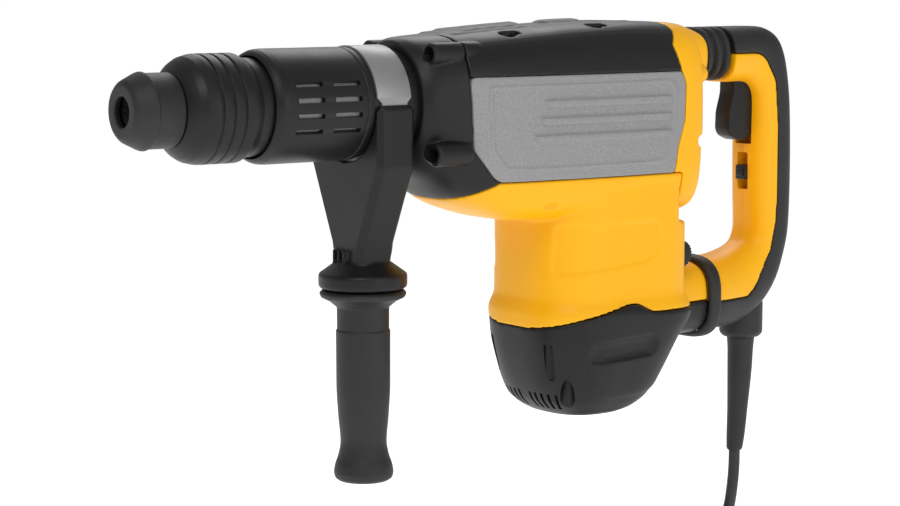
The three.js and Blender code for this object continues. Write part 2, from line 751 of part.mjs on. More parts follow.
// The motor's housing: a belly under the spindle line, then an upright D-shaped pot with a flared foot.
function motorSkin(inset, top, bottom) {
  const middle = (MOTOR_FRONT_X + MOTOR_BACK_X) / 2;
  const long = (MOTOR_BACK_X - MOTOR_FRONT_X) / 2;
  const count = 24;
  const ring = (z, grow) =>
    Array.from({ length: count }, (_, i) => {
      const angle = (2 * PI * (i + 0.5)) / count;
      const c = cos(angle);
      const s = sin(angle);
      const power = c > 0 ? 5 : 2.5;
      const reach = (abs(c) ** power + abs(s) ** power) ** (-1 / power);
      return new THREE.Vector3(
        middle + (long + grow - inset) * reach * c,
        (MOTOR_HALF + grow - inset) * reach * s,
        z,
      );
    });
  const levels = [
    [-122, 0],
    [-134, 0.6],
    [-139, MOTOR_LIP],
  ].filter(([z]) => z < top && z > bottom);
  return loft([ring(top, 0), ...levels.map(([z, grow]) => ring(z, grow)), ring(bottom, MOTOR_LIP)]);
}

function motorHousing() {
  const front = frontLine(GAP).filter(([, z]) => z < PANEL_BOTTOM);
  const bellyTop = PANEL_BOTTOM - GAP;
  const bellyEnd = PANEL_END_X - GAP;
  const corners = [[SPLIT_X + 20 + GAP, bellyTop], [bellyEnd, bellyTop], [bellyEnd, -90]];
  const belly = outer.intersect(plate([...corners, ...front.reverse()], -FAR, FAR));
  const pot = motorSkin(0, PANEL_BOTTOM - GAP, CAP_JOINT_Z).subtract(
    box(PANEL_END_X - GAP, FAR, -FAR, FAR, REAR_FOOT_Z, FAR),
  );
  const tail = tailSkin(0).intersect(box(210, SOCKET_END_X, -FAR, FAR, CAP_JOINT_Z, FAR));
  const bellyRoom = bodySkin(WALL).intersect(box(DRIVE_X0, FAR, -FAR, FAR, -76, FAR));
  const potRoom = motorSkin(WALL, PANEL_BOTTOM + 1, CAP_JOINT_Z - 1).intersect(
    box(-FAR, MOTOR_BACK_X - WALL, -FAR, FAR, -FAR, FAR),
  );
  const bore = rod(0, 90, CYLINDER_R + GAP, { segments: 26 });
  const dialHalf = DIAL_HALF + 1;
  const dialR = DIAL_R + 0.5;
  const dialRoom = box(
    DIAL_X - dialR,
    FAR,
    -DIAL_Y - dialHalf,
    -DIAL_Y + dialHalf,
    DIAL_Z - dialR,
    DIAL_Z + dialR,
  );
  const outside = motorSkin(0, CAP_JOINT_Z + 12, CAP_JOINT_Z);
  const webs = CAP_SCREWS.map(([x, y]) =>
    onSide(y, box(x - 2, x + 2, CAP_SCREW_Y, FAR, CAP_JOINT_Z, CAP_JOINT_Z + 12)),
  );
  const bosses = [...atCapScrews(CAP_JOINT_Z, CAP_JOINT_Z + 12, SCREW_BOSS_R), ...webs];
  const screwHoles = atCapScrews(CAP_JOINT_Z - 1, CAP_JOINT_Z + 13, SCREW_R + GAP);
  return joined(belly, pot, tail)
    .subtract(joined(bellyRoom, potRoom))
    .add(joined(...bosses).intersect(outside))
    .subtract(joined(tongueRoom(), bore, dialRoom, ...screwHoles));
}

function atCapScrews(z0, z1, radius) {
  return CAP_SCREWS.map(([x, y]) => rod(z0, z1, radius, { axis: "z", at: [x, y, 0], segments: 12 }));
}

// The joint between casing and rear handle: the section that both sides of it share.
function tailRing(x, half, rise) {
  return { x, half, top: LOWER_Z + rise, bottom: LOWER_Z - rise, middle: LOWER_Z, up: 3 };
}

function tailSkin(inset) {
  const half = LOWER_HALF - 2 - inset;
  const rise = LOWER_RISE - inset;
  return skinAlongX([
    tailRing(210, half + 8, rise),
    tailRing(MOTOR_BACK_X, half + 4, rise),
    tailRing(SOCKET_END_X, half, rise),
  ]);
}

function tongueRoom() {
  const { x0, half, rise } = TONGUE;
  return box(x0 - GAP, FAR, -half - GAP, half + GAP, LOWER_Z - rise - GAP, LOWER_Z + rise + GAP);
}

function motorCap() {
  const lip = MOTOR_HALF + MOTOR_LIP;
  const front = MOTOR_FRONT_X - MOTOR_LIP;
  const rear = MOTOR_BACK_X + MOTOR_LIP;
  // The cap draws in as it goes down: height, then how far its front, rear and sides have moved in.
  const levels = (inset, top, bottom) =>
    skinAlongZ(
      [
        [top, 0, 0, 0, 3],
        [CAP_JOINT_Z - 15, 2, 9, 2.5, 3],
        [CAP_JOINT_Z - 37, 6, 19, 7, 3],
        [CAP_JOINT_Z - 53, 12, 27, 12, 3],
        [bottom + 4, 20, 36, 17, 2.8],
        [bottom, 27, 44, 24, 2.6],
      ].map(([z, atFront, atRear, atSide, power]) => ({
        z,
        x: (front + atFront + rear - atRear) / 2,
        long: (rear - atRear - front - atFront) / 2 - inset,
        half: lip - atSide - inset,
        power,
      })),
    );
  const top = CAP_JOINT_Z - GAP;
  const outside = levels(0, top, CAP_BOTTOM_Z);
  const inside = levels(WALL, top + 1, CAP_BOTTOM_Z + WALL);
  const tail = tailSkin(0).intersect(box(222, SOCKET_END_X, -FAR, FAR, -FAR, top));
  const posts = atCapScrews(CAP_SCREW_HEAD_Z - 35, top, SCREW_BOSS_R).map((post) =>
    post.intersect(outside),
  );
  const bores = [
    ...atCapScrews(CAP_BOTTOM_Z - 20, CAP_SCREW_HEAD_Z, SCREW_HEAD_R + GAP),
    ...atCapScrews(CAP_BOTTOM_Z - 20, 0, SCREW_R + GAP),
  ];
  const middle = (front + rear) / 2 - 8;
  const vents = [1, -1].flatMap((side) =>
    [0, 1, 2, 3].map((i) => {
      const angle = 180 + side * (26 + 9 * i);
      const place = [middle + 46 * cos(rad(angle)), (MOTOR_HALF - 6) * sin(rad(angle)), -190];
      return box(-5, 5, -1.3, 1.3, -8, 8).rotate([0, 22, 0]).rotate([0, 0, angle]).translate(place);
    }),
  );
  return joined(joined(outside, tail).subtract(inside), ...posts).subtract(
    joined(tongueRoom(), ...vents, ...bores),
  );
}

// The yellow piece behind the panels, with the lobe that the bellows seats on.
function rearCover() {
  const region = [
    [PANEL_END_X, 80],
    [FAR, 80],
    [FAR, REAR_NOTCH_Z],
    [REAR_STEP_X, REAR_NOTCH_Z - 8],
    [REAR_STEP_X, REAR_FOOT_Z + GAP],
    [PANEL_END_X, REAR_FOOT_Z + GAP],
  ];
  const back = outer.intersect(plate(region, -FAR, FAR));
  const station = (x, half, top, bottom, up) => ({ x, half, top, bottom, middle: LOBE_Z, up });
  const top = LOBE_Z + LOBE_RISE;
  const bottom = LOBE_Z - LOBE_RISE;
  const lobe = skinAlongX([
    station(CASE_END_X - 22, LOBE_HALF + 8, CASE_TOP - 1, bottom - 2, 3),
    station(CASE_END_X, LOBE_HALF + 3, top + 2, bottom - 1, 3),
    station(LOBE_END_X - 3, LOBE_HALF, top - 3, bottom + 1, 2.8),
    station(LOBE_END_X, LOBE_HALF - 2, top - 5, bottom + 3, 2.8),
  ]);
  const room = bodySkin(WALL)
    .intersect(box(PANEL_END_X - 5, CASE_END_X - WALL - 4, -FAR, FAR, -FAR, FAR));
  return joined(back, lobe).subtract(room);
}

// ---------------------------------------------------------------- rear handle

// Pairs of points on the handle's inner and outer edges, from the upper arm round to the lower arm.
const LOOP = [
  [[ARM_X, LOBE_Z - ARM_RISE], [ARM_X, LOBE_Z + ARM_RISE]],
  [[300, 4.6], [301, HANDLE_TOP]],
  [[309, 4.4], [319, HANDLE_TOP]],
  [[314, 3.4], [332, 42]],
  [[317.6, 0.6], [342, 36.5]],
  [[319.8, -4], [348, 26]],
  [[320.6, -12], [351.8, 11]],
  [[320.4, -25], [354.6, -9]],
  [[320, -48], [HANDLE_BACK_X, -40]],
  [[320.6, -74], [HANDLE_BACK_X, -74]],
  [[321.6, -92], [354.4, -101]],
  [[321.4, -99], [350, -119]],
  [[318.6, -105.5], [343, -136]],
  [[312.5, -109.5], [333, -149]],
  [[304, -112.4], [319, -159]],
  [[294, -114.8], [302, -164.6]],
  [[281, -116.2], [284, LOWER_Z - LOWER_RISE + 0.3]],
  [[267, -116.3], [267, LOWER_Z - LOWER_RISE + 0.3]],
];

function handleSkin(grow = 0) {
  const rings = LOOP.map(([[xi, zi], [xo, zo]], index) => {
    const reach = hypot(xo - xi, zo - zi) / 2;
    const ux = (xo - xi) / (2 * reach);
    const uz = (zo - zi) / (2 * reach);
    const wide = index < 2 || index > LOOP.length - 4 ? 24 : ARM_HALF;
    const half = index > LOOP.length - 3 ? LOWER_HALF - 3 : wide;
    return oval(16, half + grow, reach + grow, reach + grow, 2.7).map(
      ([y, w]) => new THREE.Vector3((xi + xo) / 2 + ux * w, y, (zi + zo) / 2 + uz * w),
    );
  });
  return loft(rings);
}

// The line between the yellow shell and the soft strip behind it.
const STRIP = [
  [ARM_X - 10, 25], [317, 24.6], [324.5, 21], [334, 5.5], [336.6, -24], [336.8, -78],
  [335.8, -94], [331.6, -112], [315, -137], [306, -143.6], [240, -143.6],
];

function shellRegion(shift) {
  const line = STRIP.map(([x, z]) => [x - shift, z - (z > 0 ? shift : -shift)]);
  return plate([...line, [240, 25 - shift]], -FAR, FAR);
}

function pivotRod(half, radius) {
  return rod(-half, half, radius, { axis: "y", at: [PIVOT_X, 0, LOWER_Z], segments: 14 });
}

function handleParts() {
  const skin = handleSkin();
  const { x0, x1, z0, z1, half } = SWITCH;
  const triggerHalf = TRIGGER_HALF + GAP;
  const sliderHalf = SLIDER_HALF + GAP;
  const tongueHalf = TONGUE.half + 2 * GAP;
  const tongueRise = TONGUE.rise + 3; // room for the handle's tilt
  const switchRoom = box(x0 - GAP, x1 + GAP, -half - GAP, half + GAP, z0 - GAP, z1 + GAP);
  const triggerRoom = box(301, 334, -triggerHalf, triggerHalf, -39, z0);
  const sliderRoom = box(SLIDER_X - 10, SLIDER_X + 10, -sliderHalf, sliderHalf, -71, -45);
  const slot = box(
    TONGUE.x0,
    TONGUE.x1 + 2,
    -tongueHalf,
    tongueHalf,
    LOWER_Z - tongueRise,
    LOWER_Z + tongueRise,
  );
  const pinRoom = pivotRod(60, PIVOT_R + GAP);
  const yellow = skin
    .intersect(shellRegion(GAP / 2))
    .subtract(joined(switchRoom, triggerRoom, sliderRoom, slot, pinRoom));
  const rightHalf = box(-FAR, FAR, GAP / 2, FAR, -FAR, FAR);
  add("handle_shell_left", yellow.intersect(mirroredY(rightHalf)), "yellow_plastic");
  add("handle_shell_right", yellow.intersect(rightHalf), "yellow_plastic");
  const strip = skin.subtract(shellRegion(-GAP / 2));
  const stripRoom = joined(slot, pinRoom, switchRoom, handleCollar(GAP));
  add("soft_grip", strip.subtract(stripRoom), "black_rubber");
  add("cord_collar", handleCollar(0).subtract(shellRegion(-GAP)), "black_rubber");
  add("pivot_pin", pivotRod(LOWER_HALF - 6, PIVOT_R), "bright_steel");
  add("handle_tongue", handleTongue(), "dark_steel");
  add("lower_seal", lowerSeal(), "black_rubber");
  add("bellows", bellows(), "black_rubber");
  add("trigger_switch", box(x0, x1, -half, half, z0, z1), "black_plastic");
  add("trigger", trigger(), "black_plastic");
  add("lock_slider", lockSlider(), "black_plastic");
}

function handleTongue() {
  const { x0, x1, half, rise } = TONGUE;
  return box(x0, x1, -half, half, LOWER_Z - rise, LOWER_Z + rise).subtract(pivotRod(60, PIVOT_R + GAP));
}

// The rubber ring over the joint between the socket and the handle.
function lowerSeal() {
  const front = SOCKET_END_X + GAP;
  const back = SOCKET_END_X + RING_WIDTH + 3;
  const ring = (x, grow) => tailRing(x, LOWER_HALF + grow, LOWER_RISE + 1.5 + grow);
  const outside = skinAlongX([ring(front, 0.4), ring(front + 3.7, 2), ring(back - 3, 2), ring(back, 0.4)]);
  return outside.subtract(skinAlongX([ring(front - 2, -1), ring(back + 5, -1)]));
}

function lockSlider() {
  const half = SLIDER_HALF;
  const stem = box(SLIDER_X - 2, SLIDER_X + 9, -half, half, -64, -54);
  const button = box(SLIDER_X - 3.4, SLIDER_X, -half + 1.6, half - 1.6, -61.5, -56.5);
  return stem.add(button);
}

function handleCollar(grow) {
  const radius = 15.2 + grow;
  const top = -146 + grow;
  return turned(
    [
      [BOOT_TOP_Z - grow, 0],
      [BOOT_TOP_Z - grow, 12.5 + grow],
      [BOOT_TOP_Z + 3, radius],
      [-150, radius],
      [top, radius - 2.2],
      [top, 0],
    ],
    { axis: "z", at: [BOOT_X, 0, 0], segments: 22 },
  );
}

function trigger() {
  const outline = [
    [304.4, 10.8],
    [304.2, -3.4],
    [300.4, -15.9],
    [300, -28.6],
    [302.6, -32.8],
    [310.4, -36.2],
    [318, -35.6],
    [325, -30],
    [325, 10.8],
  ];
  return plate(outline, -TRIGGER_HALF, TRIGGER_HALF, 1.6);
}

function bellows() {
  const ridges = 3;
  const valley = 3.5;
  const x0 = LOBE_END_X + GAP;
  const pitch = (ARM_X - GAP - x0) / ridges;
  const stations = Array.from({ length: 2 * ridges + 1 }, (_, i) => {
    const shrink = i % 2 ? 0 : valley;
    return {
      x: x0 + (pitch * i) / 2,
      half: LOBE_HALF - 3 - shrink,
      top: LOBE_Z + LOBE_RISE - 1 - shrink,
      bottom: LOBE_Z - LOBE_RISE + 2 + shrink,
      middle: LOBE_Z,
      up: 2.5,
    };
  });
  return skinAlongX(stations, 24);
}

// ---------------------------------------------------------------- drive

function upright(z0, z1, radius, x, segments = 16) {
  return rod(z0, z1, radius, { axis: "z", at: [x, 0, 0], segments });
}

function ringAt(z0, z1, outerR, innerR, x) {
  return tube(z0, z1, outerR, innerR, { axis: "z", at: [x, 0, 0], segments: 22 });
}

function driveParts() {
  const insideCase = bodySkin(PANEL_THICK + WALL + GAP);
  const slab = box(COUNTER_X - 30, PANEL_END_X + 12, -FAR, FAR, PLATE_BOTTOM, PLATE_TOP);
  const bearings = [MOTOR_X, CRANK_X, COUNTER_X].map((x) =>
    upright(PLATE_BOTTOM - 1, PLATE_TOP + 1, SHAFT_R + GAP, x, 24),
  );
  add("gear_plate", insideCase.intersect(slab).subtract(joined(...bearings)), "grey_casting");
  add("crankshaft", crankshaft(), "dark_steel");

  const cone = BEVEL_Z / (BEVEL_X - COUNTER_X); // slope of the line that the pitch cones share
  const tipZ = BEVEL_Z + 6;
  const tipX = COUNTER_X + tipZ / cone;
  const counter = joined(
    upright(PLATE_BOTTOM - 1, GEAR_Z + 1, SHAFT_R, COUNTER_X),
    upright(GEAR_Z, GEAR_Z + GEAR_THICK - 2, COUNTER_R - GAP / 2, COUNTER_X, 36),
    turned(
      [
        [GEAR_Z + 4, 0],
        [GEAR_Z + 4, 8],
        [BEVEL_Z, COUNTER_X - BEVEL_X - GAP],
        [tipZ, COUNTER_X - tipX - GAP],
        [tipZ, 0],
      ],
      { axis: "z", at: [COUNTER_X, 0, 0], segments: 22 },
    ),
  );
  add("counter_gear", counter, "dark_steel");

  const bevel = turned(
    [
      [BEVEL_X - 12, CYLINDER_R - 1],
      [BEVEL_X - 12, -BEVEL_Z],
      [BEVEL_X - GAP, -BEVEL_Z],
      [tipX - GAP, -tipZ],
      [tipX - GAP, CYLINDER_R - 1],
      [BEVEL_X - 12, CYLINDER_R - 1],
    ],
    { segments: 26 },
  );
  const cylinder = tube(HOLDER_END_X + GAP, CYLINDER_END_X, CYLINDER_R, CYLINDER_BORE_R, { segments: 26 });
  add("hammer_tube", joined(cylinder, bevel), "bright_steel");
  linkageParts();
}

function crankshaft() {
  const webTop = -11;
  return joined(
    upright(PLATE_BOTTOM - 1, GEAR_Z + 1, SHAFT_R, CRANK_X),
    upright(GEAR_Z, GEAR_Z + GEAR_THICK, CRANK_R - GAP / 2, CRANK_X, 36),
    upright(GEAR_Z + GEAR_THICK - 1, webTop - 7, SHAFT_R + 4, CRANK_X),
    upright(webTop - 7, webTop, CRANK_THROW + 7, CRANK_X, 32),
    upright(webTop - 1, webTop + 4.5, CRANK_PIN_R, CRANK_X - CRANK_THROW),
  );
}

function linkageParts() {
  const pinX = CRANK_X - CRANK_THROW;
  const wristX = pinX - ROD_LENGTH;
  const across = (x, half, radius) => rod(-half, half, radius, { axis: "y", at: [x, 0, 0], segments: 12 });
  const head = rod(wristX - 18, wristX + 8, CYLINDER_BORE_R - GAP, { segments: 22 });
  const rodRoom = box(wristX - 8, wristX + 20, -6, 6, -FAR, FAR);
  const wristHole = across(wristX, 30, WRIST_R + GAP);
  add("piston", head.subtract(rodRoom).subtract(wristHole), "bright_steel");
  add("wrist_pin", across(wristX, CYLINDER_BORE_R - 5, WRIST_R), "dark_steel");

  const eyeHalf = 5.6;
  const smallEye = across(wristX, eyeHalf, 2 * WRIST_R);
  const bigEye = upright(-eyeHalf, eyeHalf, 2 * CRANK_PIN_R, pinX);
  const shank = box(wristX, pinX, -3.5, 3.5, -4.5, 4.5);
  const pinHole = upright(-2 * eyeHalf, 2 * eyeHalf, CRANK_PIN_R + GAP, pinX, 14);
  add("connecting_rod", joined(smallEye, bigEye, shank).subtract(joined(wristHole, pinHole)), "grey_casting");
}

function motorParts() {
  const shaftHole = MOTOR_SHAFT_R + GAP;
  const armature = joined(
    upright(-152, GEAR_Z + 8, MOTOR_SHAFT_R, MOTOR_X),
    upright(GEAR_Z - 1, GEAR_Z + 8, PINION_R - GAP / 2, MOTOR_X),
    upright(PLATE_BOTTOM, GEAR_Z - 2, SHAFT_R, MOTOR_X),
    upright(STATOR.z0, STATOR.z1, STATOR.inner - 1, MOTOR_X, 32),
    upright(STATOR.z0 - 3, STATOR.z1 + 3, STATOR.inner - 6, MOTOR_X, 32),
  );
  add("armature", armature, "dark_steel");
  add("commutator", ringAt(BRUSH_Z - 6, BRUSH_Z + 5.7, COMMUTATOR_R, shaftHole, MOTOR_X), "copper");
  add("cooling_fan", coolingFan(shaftHole), "black_plastic");
  add("stator", ringAt(STATOR.z0, STATOR.z1, STATOR.outer, STATOR.inner, MOTOR_X), "dark_steel");

  const carrierTop = BRUSH_Z - 7;
  const boxHalf = BRUSH_HALF + GAP;
  const wallHalf = BRUSH_HALF + 2.8;
  const screwRoom = atCapScrews(carrierTop - 10, carrierTop + 10, SCREW_BOSS_R + GAP);
  const discR = hypot(CAP_SCREWS[0][0] - MOTOR_X, CAP_SCREW_Y) - SCREW_BOSS_R + 1;
  const disc = ringAt(carrierTop - 6, carrierTop, discR, shaftHole, MOTOR_X)
    .subtract(joined(...screwRoom));
  const guide = box(MOTOR_X - wallHalf, MOTOR_X + wallHalf, 18, 36, carrierTop - 1, BRUSH_Z + 6)
    .subtract(box(MOTOR_X - boxHalf, MOTOR_X + boxHalf, 10, 40, BRUSH_Z - 4, BRUSH_Z + 4));
  add("brush_carrier", joined(disc, guide, mirroredY(guide)), "black_plastic");
  for (const [name, side] of Object.entries({ left: -1, right: 1 })) {
    const brush = box(
      MOTOR_X - BRUSH_HALF,
      MOTOR_X + BRUSH_HALF,
      COMMUTATOR_R + GAP,
      34,
      BRUSH_Z - 3.7,
      BRUSH_Z + 3.7,
    );
    add(`brush_${name}`, onSide(side, brush), "dark_steel");
  }
}

function coolingFan(shaftHole) {
  const blades = Array.from({ length: 10 }, (_, i) =>
    box(14, FAN_R - 1, -0.9, 0.9, FAN_Z + 1.5, FAN_Z + 9.5).rotate([0, 0, 36 * i]).translate([MOTOR_X, 0, 0]),
  );
  const disc = ringAt(FAN_Z, FAN_Z + 2.5, FAN_R, shaftHole, MOTOR_X);
  const hub = ringAt(FAN_Z + 0.5, FAN_Z + 10.5, 15, shaftHole, MOTOR_X);
  return joined(disc, hub, ...blades);
}

// ---------------------------------------------------------------- controls, screws and cord

function controlParts() {
  const z = SELECTOR_FLOOR + GAP;
  const knob = joined(
    upright(z, z + 3, SELECTOR_R, SELECTOR_X, 32),
    box(SELECTOR_X - SELECTOR_R + 2, SELECTOR_X + SELECTOR_R - 2, -4, 4, z + 2, z + 7.5),
    upright(z - 6, z + 1, SELECTOR_POST_R, SELECTOR_X, 16),
  );
  add("mode_selector", knob, "black_plastic");
  const wheel = Array.from({ length: 24 }, (_, i) => {
    const angle = (2 * PI * i) / 24;
    const reach = i % 2 ? DIAL_R : DIAL_R - 0.8;
    return [DIAL_X + reach * cos(angle), DIAL_Z + reach * sin(angle)];
  });
  add("speed_dial", plate(wheel, -DIAL_Y - DIAL_HALF, -DIAL_Y + DIAL_HALF), "black_plastic");
}

function screwParts() {
  for (const [row, { y, z, x0 }] of Object.entries(BOSSES)) {
    for (const [name, side] of Object.entries({ left: -1, right: 1 })) {
      const place = { at: [0, y * side, z], segments: 12 };
      const front = x0 + 10;
      const head = rod(front, front + SCREW_HEAD, SCREW_HEAD_R, place);
      const socket = rod(front - 1, front + 2.4, SCREW_R, { ...place, segments: 6 });
      add(`case_screw_${row}_${name}`, head.subtract(socket), "dark_steel");
    }
  }
  const heads = atCapScrews(CAP_SCREW_HEAD_Z - SCREW_HEAD, CAP_SCREW_HEAD_Z - GAP, SCREW_HEAD_R);
  const shanks = atCapScrews(CAP_SCREW_HEAD_Z - 1, CAP_JOINT_Z + 9, SCREW_R);
  heads.forEach((head, i) => add(`cap_screw_${i + 1}`, head.add(shanks[i]), "dark_steel"));
}

const BOOT = [
  [BOOT_TOP_Z - 2 * GAP, BOOT_TOP_R],
  [-196, 8.9],
  [-224, 7.2],
  [BOOT_END_Z, BOOT_END_R],
];

// Where the cord runs from the boot to the coil, in millimetres.
const CORD_ROUTE = [
  [316.5, 0, BOOT_END_Z - GAP],
  [316.5, 0, -265],
  [316, 0.2, -276],
  [315.4, 1.2, -287],
  [316, 4, -298],
  [316.6, 9, -308],
  [317, 16.5, -316],
  [317, 26, -321],
  [316.6, 36, -323.4],
  [315.6, 46, -324],
];

// And from the coil to the plug.
const TAIL_ROUTE = [
  [205.3, 55.9, -357],
  [202, 49.4, -357],
  [199.3, 42.5, -356.4],
  [197.6, 35, -354.6],
  [197, 27, -352.6],
  [197, 19, -352],
  [197, 13, -352],
];

function cordAlong(route, steps) {
  const path = new THREE.CatmullRomCurve3(route.map((p) => new THREE.Vector3(...p)));
  const section = new THREE.Shape();
  section.absarc(0, 0, CORD_R, 0, 2 * PI);
  return solid(new THREE.ExtrudeGeometry(section, { steps, extrudePath: path, curveSegments: 4 }));
}

// The plug lies flat beside the coil, in line with the end of the cord.
function plug() {
  const station = (x, half, rise) => ({ x, half, top: rise, bottom: -rise, middle: 0, up: 3 });
  const body = skinAlongX([
    station(-GAP, 5.5, 5.5),
    station(-14, 7, 7),
    station(-20, 13, PLUG_HALF),
    station(-42, 15, PLUG_HALF),
    station(-46, 14, PLUG_HALF - 1),
  ]);
  const blades = [-6.35, 6.35].map((y) => box(-63, -45, y - 0.8, y + 0.8, -3.2, 3.2));
  return joined(body, ...blades).rotate([0, 0, 90]).translate(TAIL_ROUTE.at(-1));
}

function cordBoot() {
  const rings = BOOT.map(([z, radius], i) => {
    const x = BOOT_X - (i * i) / 2;
    return oval(20, radius, radius, radius, 2).map(([dx, y]) => new THREE.Vector3(x + dx, y, z));
  });
  return loft(rings);
}

function cordCoil() {
  const { x, y, inner: r0, outer: r1, top } = COIL;
  const round = CORD_R;
  const profile = [
    [FLOOR_Z, r0 + round],
    [FLOOR_Z, r1 - round],
    [FLOOR_Z + round, r1],
    [top - round, r1],
    [top, r1 - round],
    [top, r0 + round],
    [top - round, r0],
    [FLOOR_Z + round, r0],
    [FLOOR_Z, r0 + round],
  ];
  return turned(profile, { axis: "z", at: [x, y, 0], segments: 22 });
}

function cordParts() {
  add("cord_boot", cordBoot(), "black_rubber");
  add("cord", cordAlong(CORD_ROUTE, 16), "black_rubber");
  add("cord_tail", cordAlong(TAIL_ROUTE, 8), "black_rubber");
  add("cord_coil", cordCoil(), "black_rubber");
  add("plug", plug(), "black_rubber");
}

spindleParts();
sideHandleParts();
add("front_case", frontCase(), "black_plastic");
add("crank_case", crankCase(), "grey_casting");
add("top_cover", topCover(), "black_plastic");
add("side_panel_left", sidePanel(-1), "grey_casting");
add("side_panel_right", sidePanel(1), "grey_casting");
add("motor_housing", motorHousing(), "yellow_plastic");
add("motor_cap", motorCap(), "black_plastic");
add("rear_cover", rearCover(), "yellow_plastic");
handleParts();
driveParts();
motorParts();
controlParts();
screwParts();
cordParts();

export default hammer;
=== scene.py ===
# %% [markdown]
# # A demolition hammer
#
# A corded demolition hammer is a stack of moulded and cast shells round a motor, a crank and a long steel
# cylinder. This lesson loads the engineering model as a frame, then dresses it: every shell that the eye meets is
# modelled again with round edges, and every piece gets a finish. Lengths are written in millimetres and turned
# into metres, because that is how such a tool is drawn.

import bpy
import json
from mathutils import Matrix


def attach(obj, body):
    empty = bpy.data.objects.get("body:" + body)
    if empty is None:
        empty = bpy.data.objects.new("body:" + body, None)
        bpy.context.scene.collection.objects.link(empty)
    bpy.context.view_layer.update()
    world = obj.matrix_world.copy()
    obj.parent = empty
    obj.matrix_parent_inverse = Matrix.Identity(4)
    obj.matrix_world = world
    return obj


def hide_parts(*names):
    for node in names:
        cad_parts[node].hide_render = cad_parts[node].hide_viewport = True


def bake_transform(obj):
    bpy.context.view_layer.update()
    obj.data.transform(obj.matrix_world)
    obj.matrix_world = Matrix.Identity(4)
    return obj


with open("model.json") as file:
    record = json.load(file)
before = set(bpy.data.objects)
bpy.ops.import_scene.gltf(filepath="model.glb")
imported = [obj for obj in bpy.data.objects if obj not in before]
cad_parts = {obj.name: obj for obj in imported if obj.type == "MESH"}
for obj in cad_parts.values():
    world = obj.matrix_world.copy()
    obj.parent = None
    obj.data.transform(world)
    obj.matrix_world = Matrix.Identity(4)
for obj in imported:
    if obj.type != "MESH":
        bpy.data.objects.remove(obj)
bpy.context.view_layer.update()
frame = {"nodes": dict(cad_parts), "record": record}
print("frame loaded:", len(frame["nodes"]), "nodes")

# %% Tools for the lesson
import json
import math
from math import cos, pi, sin

import bpy
from mathutils import Matrix, Vector

MM = 0.001
FAR = 400


def metres(*point):
    return Vector(point) * MM


def pick(*objects):
    if bpy.context.object and bpy.context.object.mode != "OBJECT":
        bpy.ops.object.mode_set(mode="OBJECT")
    bpy.ops.object.select_all(action="DESELECT")
    for item in objects:
        item.select_set(True)
    bpy.context.view_layer.objects.active = objects[0]


# %% [markdown]
# ## The camera
#
# The tool is seen from its left, a little ahead of it and a little above, with a long lens, so its lines stay almost
# parallel. The camera is placed from the point that it looks at, an azimuth and an elevation.

# %% Camera
TARGET = metres(67.3, 0, -98.5)
AZIMUTH = math.radians(-36)
ELEVATION = math.radians(6.8)
DISTANCE = 1.538
LENS = 96

back = Vector((sin(AZIMUTH) * cos(ELEVATION), -cos(AZIMUTH) * cos(ELEVATION), sin(ELEVATION)))
bpy.ops.object.camera_add(location=TARGET + back * DISTANCE)
camera = bpy.context.object
camera.rotation_euler = (-back).to_track_quat("-Z", "Y").to_euler()
camera.data.lens = LENS
camera.data.sensor_width = 36
camera.data.clip_end = 300
bpy.context.scene.camera = camera
print("camera at", [round(c, 3) for c in camera.location])

# %% [markdown]
# ## Finishes
#
# Moulded plastic is never one flat colour. Its grain catches the light, its tone drifts a little over a large part,
# and its edges polish with handling. Three small node groups give those effects to every finish: `Grain` makes the
# height for a bump, `Drift` moves a colour a little up and down, and `Worn edges` finds sharp convex edges.

# %% Shared node groups
def socket(tree, name, kind, way, value=None):
    made = tree.interface.new_socket(name=name, in_out=way, socket_type=kind)
    if value is not None:
        made.default_value = value
    return made


def group(name):
    tree = bpy.data.node_groups.new(name, "ShaderNodeTree")
    return tree, tree.nodes.new("NodeGroupInput"), tree.nodes.new("NodeGroupOutput")


def node(tree, kind, values=(), **settings):
    """Adds a shader node. Values are for its sockets, by name or number, and settings for the node itself."""
    made = tree.nodes.new("ShaderNode" + kind)
    for name, value in dict(values).items():
        made.inputs[name].default_value = value
    for name, value in settings.items():
        setattr(made, name, value)
    return made


def wire(tree, *pairs):
    for output, target in pairs:
        tree.links.new(output, target)
    return tree


def grain_group():
    tree, start, end = group("Grain")
    socket(tree, "Scale", "NodeSocketFloat", "INPUT", 900)
    socket(tree, "Pits", "NodeSocketFloat", "INPUT", 0.3)
    socket(tree, "Height", "NodeSocketFloat", "OUTPUT")
    place = node(tree, "TexCoord")
    fine = node(tree, "TexNoise", {"Detail": 3})
    cells = node(tree, "TexVoronoi")
    mix = node(tree, "Math", operation="MULTIPLY_ADD")
    return wire(
        tree,
        (place.outputs["Object"], fine.inputs["Vector"]),
        (place.outputs["Object"], cells.inputs["Vector"]),
        (start.outputs["Scale"], fine.inputs["Scale"]),
        (start.outputs["Scale"], cells.inputs["Scale"]),
        (cells.outputs["Distance"], mix.inputs[0]),
        (start.outputs["Pits"], mix.inputs[1]),
        (fine.outputs["Fac"], mix.inputs[2]),
        (mix.outputs[0], end.inputs["Height"]),
    )


